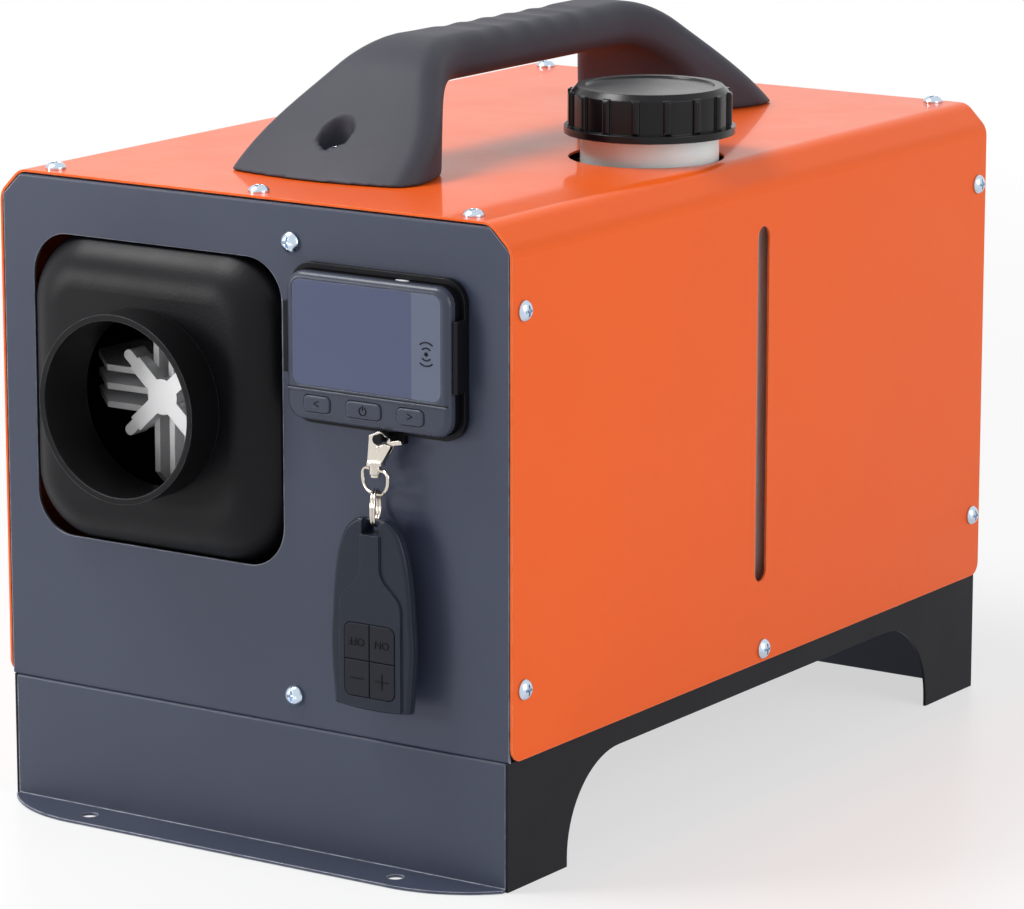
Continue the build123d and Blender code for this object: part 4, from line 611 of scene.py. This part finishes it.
# ---------------------------------------------------------------- controller
class HEATER_OT_controller(bpy.types.Operator):
    """Marks on the controller's keys and lens, and the oval on its top edge"""
    bl_idname = "heater.controller"
    bl_label = "Controller"

    def execute(self, context):
        # The key icons are relief in the key's own plastic; their near-black colour is painted shade.
        for side, text in (("left", "<"), ("right", ">")):
            mark = lettering(text, KEY_LETTER, self.key_face(side), swell=-0.02)
            settle(mark, f"key_mark_{side}", "mark", f"key_{side}")
        x, y, z = self.key_face("power")
        ring = arc_mark(POWER_RADIUS, POWER_STROKE, (x, y, z - POWER_DROP), POWER_GAP)
        ahead, up = POWER_BAR_PLACE
        bar = bar_mark(POWER_BAR, (x, y + ahead, z + up))
        settle(joined(ring, bar), "key_mark_power", "mark", "key_power")
        self.lens_mark()
        self.top_oval()
        self.seam()
        return {"FINISHED"}

    def key_face(self, side):
        """Middle of a key's front."""
        low, high = box_mm(f"controller_button_{side}")
        return ((low.x + high.x) / 2, low.y, (low.z + high.z) / 2)

    def lens_mark(self):
        """Dot with two arcs above and two below."""
        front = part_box("display_lens")[0].y / MM
        place = (WIRELESS_X, front, WIRELESS_Z)
        dot = arc_mark(*WIRELESS_DOT, place, [])
        arcs = [arc_mark(radius, WIRELESS_STROKE, place, gaps) for radius, gaps in WIRELESS_ARCS]
        settle(joined(dot, *arcs), "lens_mark", "mark", "case")

    def seam(self):
        """Step across the front between the lens and the keys: a dark line over a rounded ridge."""
        low, high = box_mm("controller_front_shell")
        middle = (low.x + high.x) / 2
        width = high.x - low.x
        line = bar_mark((width - 2 * SEAM_INSET, SEAM_DEPTH, SEAM_WIDTH), (middle, low.y, SEAM_HEIGHT))
        settle(line, "controller_seam", "mark", "case")
        ridge = bar_mark((width - 2 * RIDGE_INSET, RIDGE_DEPTH, RIDGE_HEIGHT),
                         (middle, low.y, SEAM_HEIGHT - RIDGE_DROP), bevel=RIDGE_ROUNDING)
        settle(ridge, "controller_ridge", "casing", "case")

    def top_oval(self):
        """Small pale oval on the shell's top edge."""
        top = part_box("controller_front_shell")[1].z / MM
        start()
        bpy.ops.mesh.primitive_cylinder_add(vertices=40, radius=1.0, depth=OVAL_HEIGHT * MM,
                                            location=at(*OVAL_PLACE, top),
                                            scale=(OVAL_HALF_LENGTH * MM, OVAL_HALF_WIDTH * MM, 1.0))
        obj = bpy.context.object
        bpy.ops.object.transform_apply(location=False, rotation=False, scale=True)
        mesh = edit(obj)
        pick(mesh, mesh.faces, lambda f: f.normal.z > 0.9)
        bpy.ops.mesh.bevel(offset=0.1 * MM, segments=2, affect="EDGES")
        bpy.ops.object.mode_set(mode="OBJECT")
        settle(obj, "controller_oval", "white", "case")


# ---------------------------------------------------------------- fob
class HEATER_OT_fob(bpy.types.Operator):
    """Raised characters on the four fob buttons"""
    bl_idname = "heater.fob"
    bl_label = "Fob"

    def execute(self, context):
        # The characters are embossed in the button's own rubber; their near-black colour is painted shade
        # around the relief.
        for key in ("off", "on", "minus", "plus"):
            low, high = box_mm(f"fob_button_{key}")
            x = (low.x + high.x) / 2
            y = low.y - FOB_BAR_LIFT
            z = (low.z + high.z) / 2
            if key in ("off", "on"):
                mark = lettering(key.upper(), FOB_LETTER, (x, low.y, z), turn=math.pi,
                                 thickness=FOB_RELIEF)
            else:
                mark = bar_mark((FOB_BAR, FOB_RELIEF, FOB_STROKE), (x, y, z))
            if key == "plus":
                mark = joined(mark, bar_mark((FOB_STROKE, FOB_RELIEF, FOB_BAR), (x, y, z)))
            settle(mark, f"fob_mark_{key}", "mark", f"fob_{key}")
        return {"FINISHED"}


# ---------------------------------------------------------------- outlet
class HEATER_OT_outlet(bpy.types.Operator):
    """Worn double lip on the nozzle's rim"""
    bl_idname = "heater.outlet"
    bl_label = "Outlet"

    def execute(self, context):
        low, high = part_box("outlet_nozzle")
        radius = (high.x - low.x) / 2
        centre = (low + high) / 2
        start()
        bpy.ops.mesh.primitive_torus_add(location=(centre.x, low.y + LIP_RADIUS * MM, centre.z),
                                         rotation=(math.pi / 2, 0, 0),
                                         major_radius=radius - LIP_INSET * MM,
                                         minor_radius=LIP_RADIUS * MM,
                                         major_segments=128, minor_segments=14)
        obj = bpy.context.object
        mesh = edit(obj)
        pick(mesh, mesh.faces, lambda f: f.normal.z > 0.9)
        margin, depth = LIP_WEAR
        bpy.ops.mesh.inset(thickness=margin * MM, depth=-depth * MM)
        bpy.ops.object.mode_set(mode="OBJECT")
        bpy.ops.object.shade_smooth_by_angle(angle=math.radians(40))
        settle(obj, "nozzle_lip", "casing", "case")
        return {"FINISHED"}


# ---------------------------------------------------------------- stage
def seen_directly(tree):
    """1 for rays that show the background: from the camera, by gloss or through glass."""
    path = tree.nodes.new("ShaderNodeLightPath")
    seen = maths(tree, "MAXIMUM", path.outputs["Is Camera Ray"], path.outputs["Is Glossy Ray"])
    return maths(tree, "MAXIMUM", seen, path.outputs["Is Transmission Ray"])


def make_world(strength):
    world = bpy.data.worlds.new("studio")
    world.use_nodes = True
    tree = world.node_tree
    background = tree.nodes["Background"]
    background.inputs["Color"].default_value = (1.0, 1.0, 1.0, 1.0)
    lit = add(tree, "MapRange", Value=seen_directly(tree), To_Min=strength, To_Max=1.0)
    connect(tree, background.inputs["Strength"], lit.outputs[0])
    bpy.context.scene.world = world


def make_floor():
    bpy.ops.mesh.primitive_grid_add(x_subdivisions=4, y_subdivisions=4, size=FLOOR_SIZE,
                                    location=(0, 0, -FLOOR_DROP))
    floor = bpy.context.object
    floor.name = "studio_floor"
    bpy.ops.object.transform_apply(location=True, rotation=True, scale=True)
    material = bpy.data.materials.new("studio floor")
    material.use_nodes = True
    tree = material.node_tree
    shader = tree.nodes["Principled BSDF"]
    shader.inputs["Base Color"].default_value = (FLOOR_TONE, FLOOR_TONE, FLOOR_TONE, 1.0)
    shader.inputs["Roughness"].default_value = 0.35
    glow = add(tree, "Emission", Color=(1.0, 1.0, 1.0, 1.0), Strength=1.0)
    place = tree.nodes.new("ShaderNodeTexCoord").outputs["Object"]
    away = add(tree, "VectorMath", {"operation": "LENGTH"}, _0=place).outputs["Value"]
    bright = add(tree, "MapRange", Value=away, From_Min=FLOOR_FADE[0], From_Max=FLOOR_FADE[1],
                 To_Min=FLOOR_WHITE[0], To_Max=FLOOR_WHITE[1]).outputs[0]
    share = maths(tree, "MULTIPLY", seen_directly(tree), bright)
    mix = add(tree, "MixShader", _0=share, _1=shader.outputs[0], _2=glow.outputs[0])
    tree.links.new(mix.outputs[0], tree.nodes["Material Output"].inputs["Surface"])
    floor.data.materials.append(material)


def aim(obj, target):
    """Turn a lamp or camera to look at a point."""
    obj.rotation_euler = (Vector(target) - obj.location).to_track_quat("-Z", "Y").to_euler()


def make_lamp(name, place, target, size, power):
    bpy.ops.object.light_add(type="AREA", location=place)
    lamp = bpy.context.object
    lamp.name = name
    lamp.data.shape = "RECTANGLE"
    lamp.data.size, lamp.data.size_y = size
    lamp.data.energy = power
    aim(lamp, target)


def make_camera(stage):
    bpy.ops.object.camera_add()
    camera = bpy.context.object
    flat = math.cos(stage.elevation)
    back = Vector((math.sin(stage.azimuth) * flat, -math.cos(stage.azimuth) * flat,
                   math.sin(stage.elevation)))
    camera.location = Vector(stage.target) + back * stage.distance
    aim(camera, stage.target)
    camera.data.lens = stage.lens
    camera.data.sensor_width = SENSOR
    camera.data.clip_start = NEAREST
    bpy.context.scene.camera = camera


class HEATER_OT_stage(bpy.types.Operator):
    """Set floor, soft light and the camera"""
    bl_idname = "heater.stage"
    bl_label = "Stage"

    def execute(self, context):
        stage = context.scene.heater_stage
        make_world(stage.world_light)
        make_floor()
        for name, (place, target, size, power) in LAMPS.items():
            make_lamp(name, place, target, size, getattr(stage, power))
        make_camera(stage)
        context.scene.view_settings.view_transform = "Standard"
        return {"FINISHED"}


# ---------------------------------------------------------------- panel and start
STEPS = (HEATER_OT_finishes, HEATER_OT_dress, HEATER_OT_handle, HEATER_OT_controller, HEATER_OT_fob,
         HEATER_OT_outlet, HEATER_OT_stage)


class HEATER_PT_panel(bpy.types.Panel):
    bl_idname = "HEATER_PT_panel"
    bl_label = "Diesel Air Heater"
    bl_space_type = "VIEW_3D"
    bl_region_type = "UI"
    bl_category = "Heater"

    def draw(self, context):
        scene = context.scene
        for settings in (scene.heater_colours, scene.heater_sizes, scene.heater_stage):
            for name in settings.__annotations__:
                self.layout.prop(settings, name)
        for step in STEPS:
            self.layout.operator(step.bl_idname)


CLASSES = (HEATER_PG_colours, HEATER_PG_sizes, HEATER_PG_stage, *STEPS, HEATER_PT_panel)


def register():
    for cls in CLASSES:
        bpy.utils.register_class(cls)
    bpy.types.Scene.heater_colours = PointerProperty(type=HEATER_PG_colours)
    bpy.types.Scene.heater_sizes = PointerProperty(type=HEATER_PG_sizes)
    bpy.types.Scene.heater_stage = PointerProperty(type=HEATER_PG_stage)


def unregister():
    del bpy.types.Scene.heater_stage
    del bpy.types.Scene.heater_sizes
    del bpy.types.Scene.heater_colours
    for cls in reversed(CLASSES):
        bpy.utils.unregister_class(cls)


def main():
    register()
    for step in STEPS:
        group, name = step.bl_idname.split(".")
        getattr(getattr(bpy.ops, group), name)()


if __name__ == "__main__":
    main()
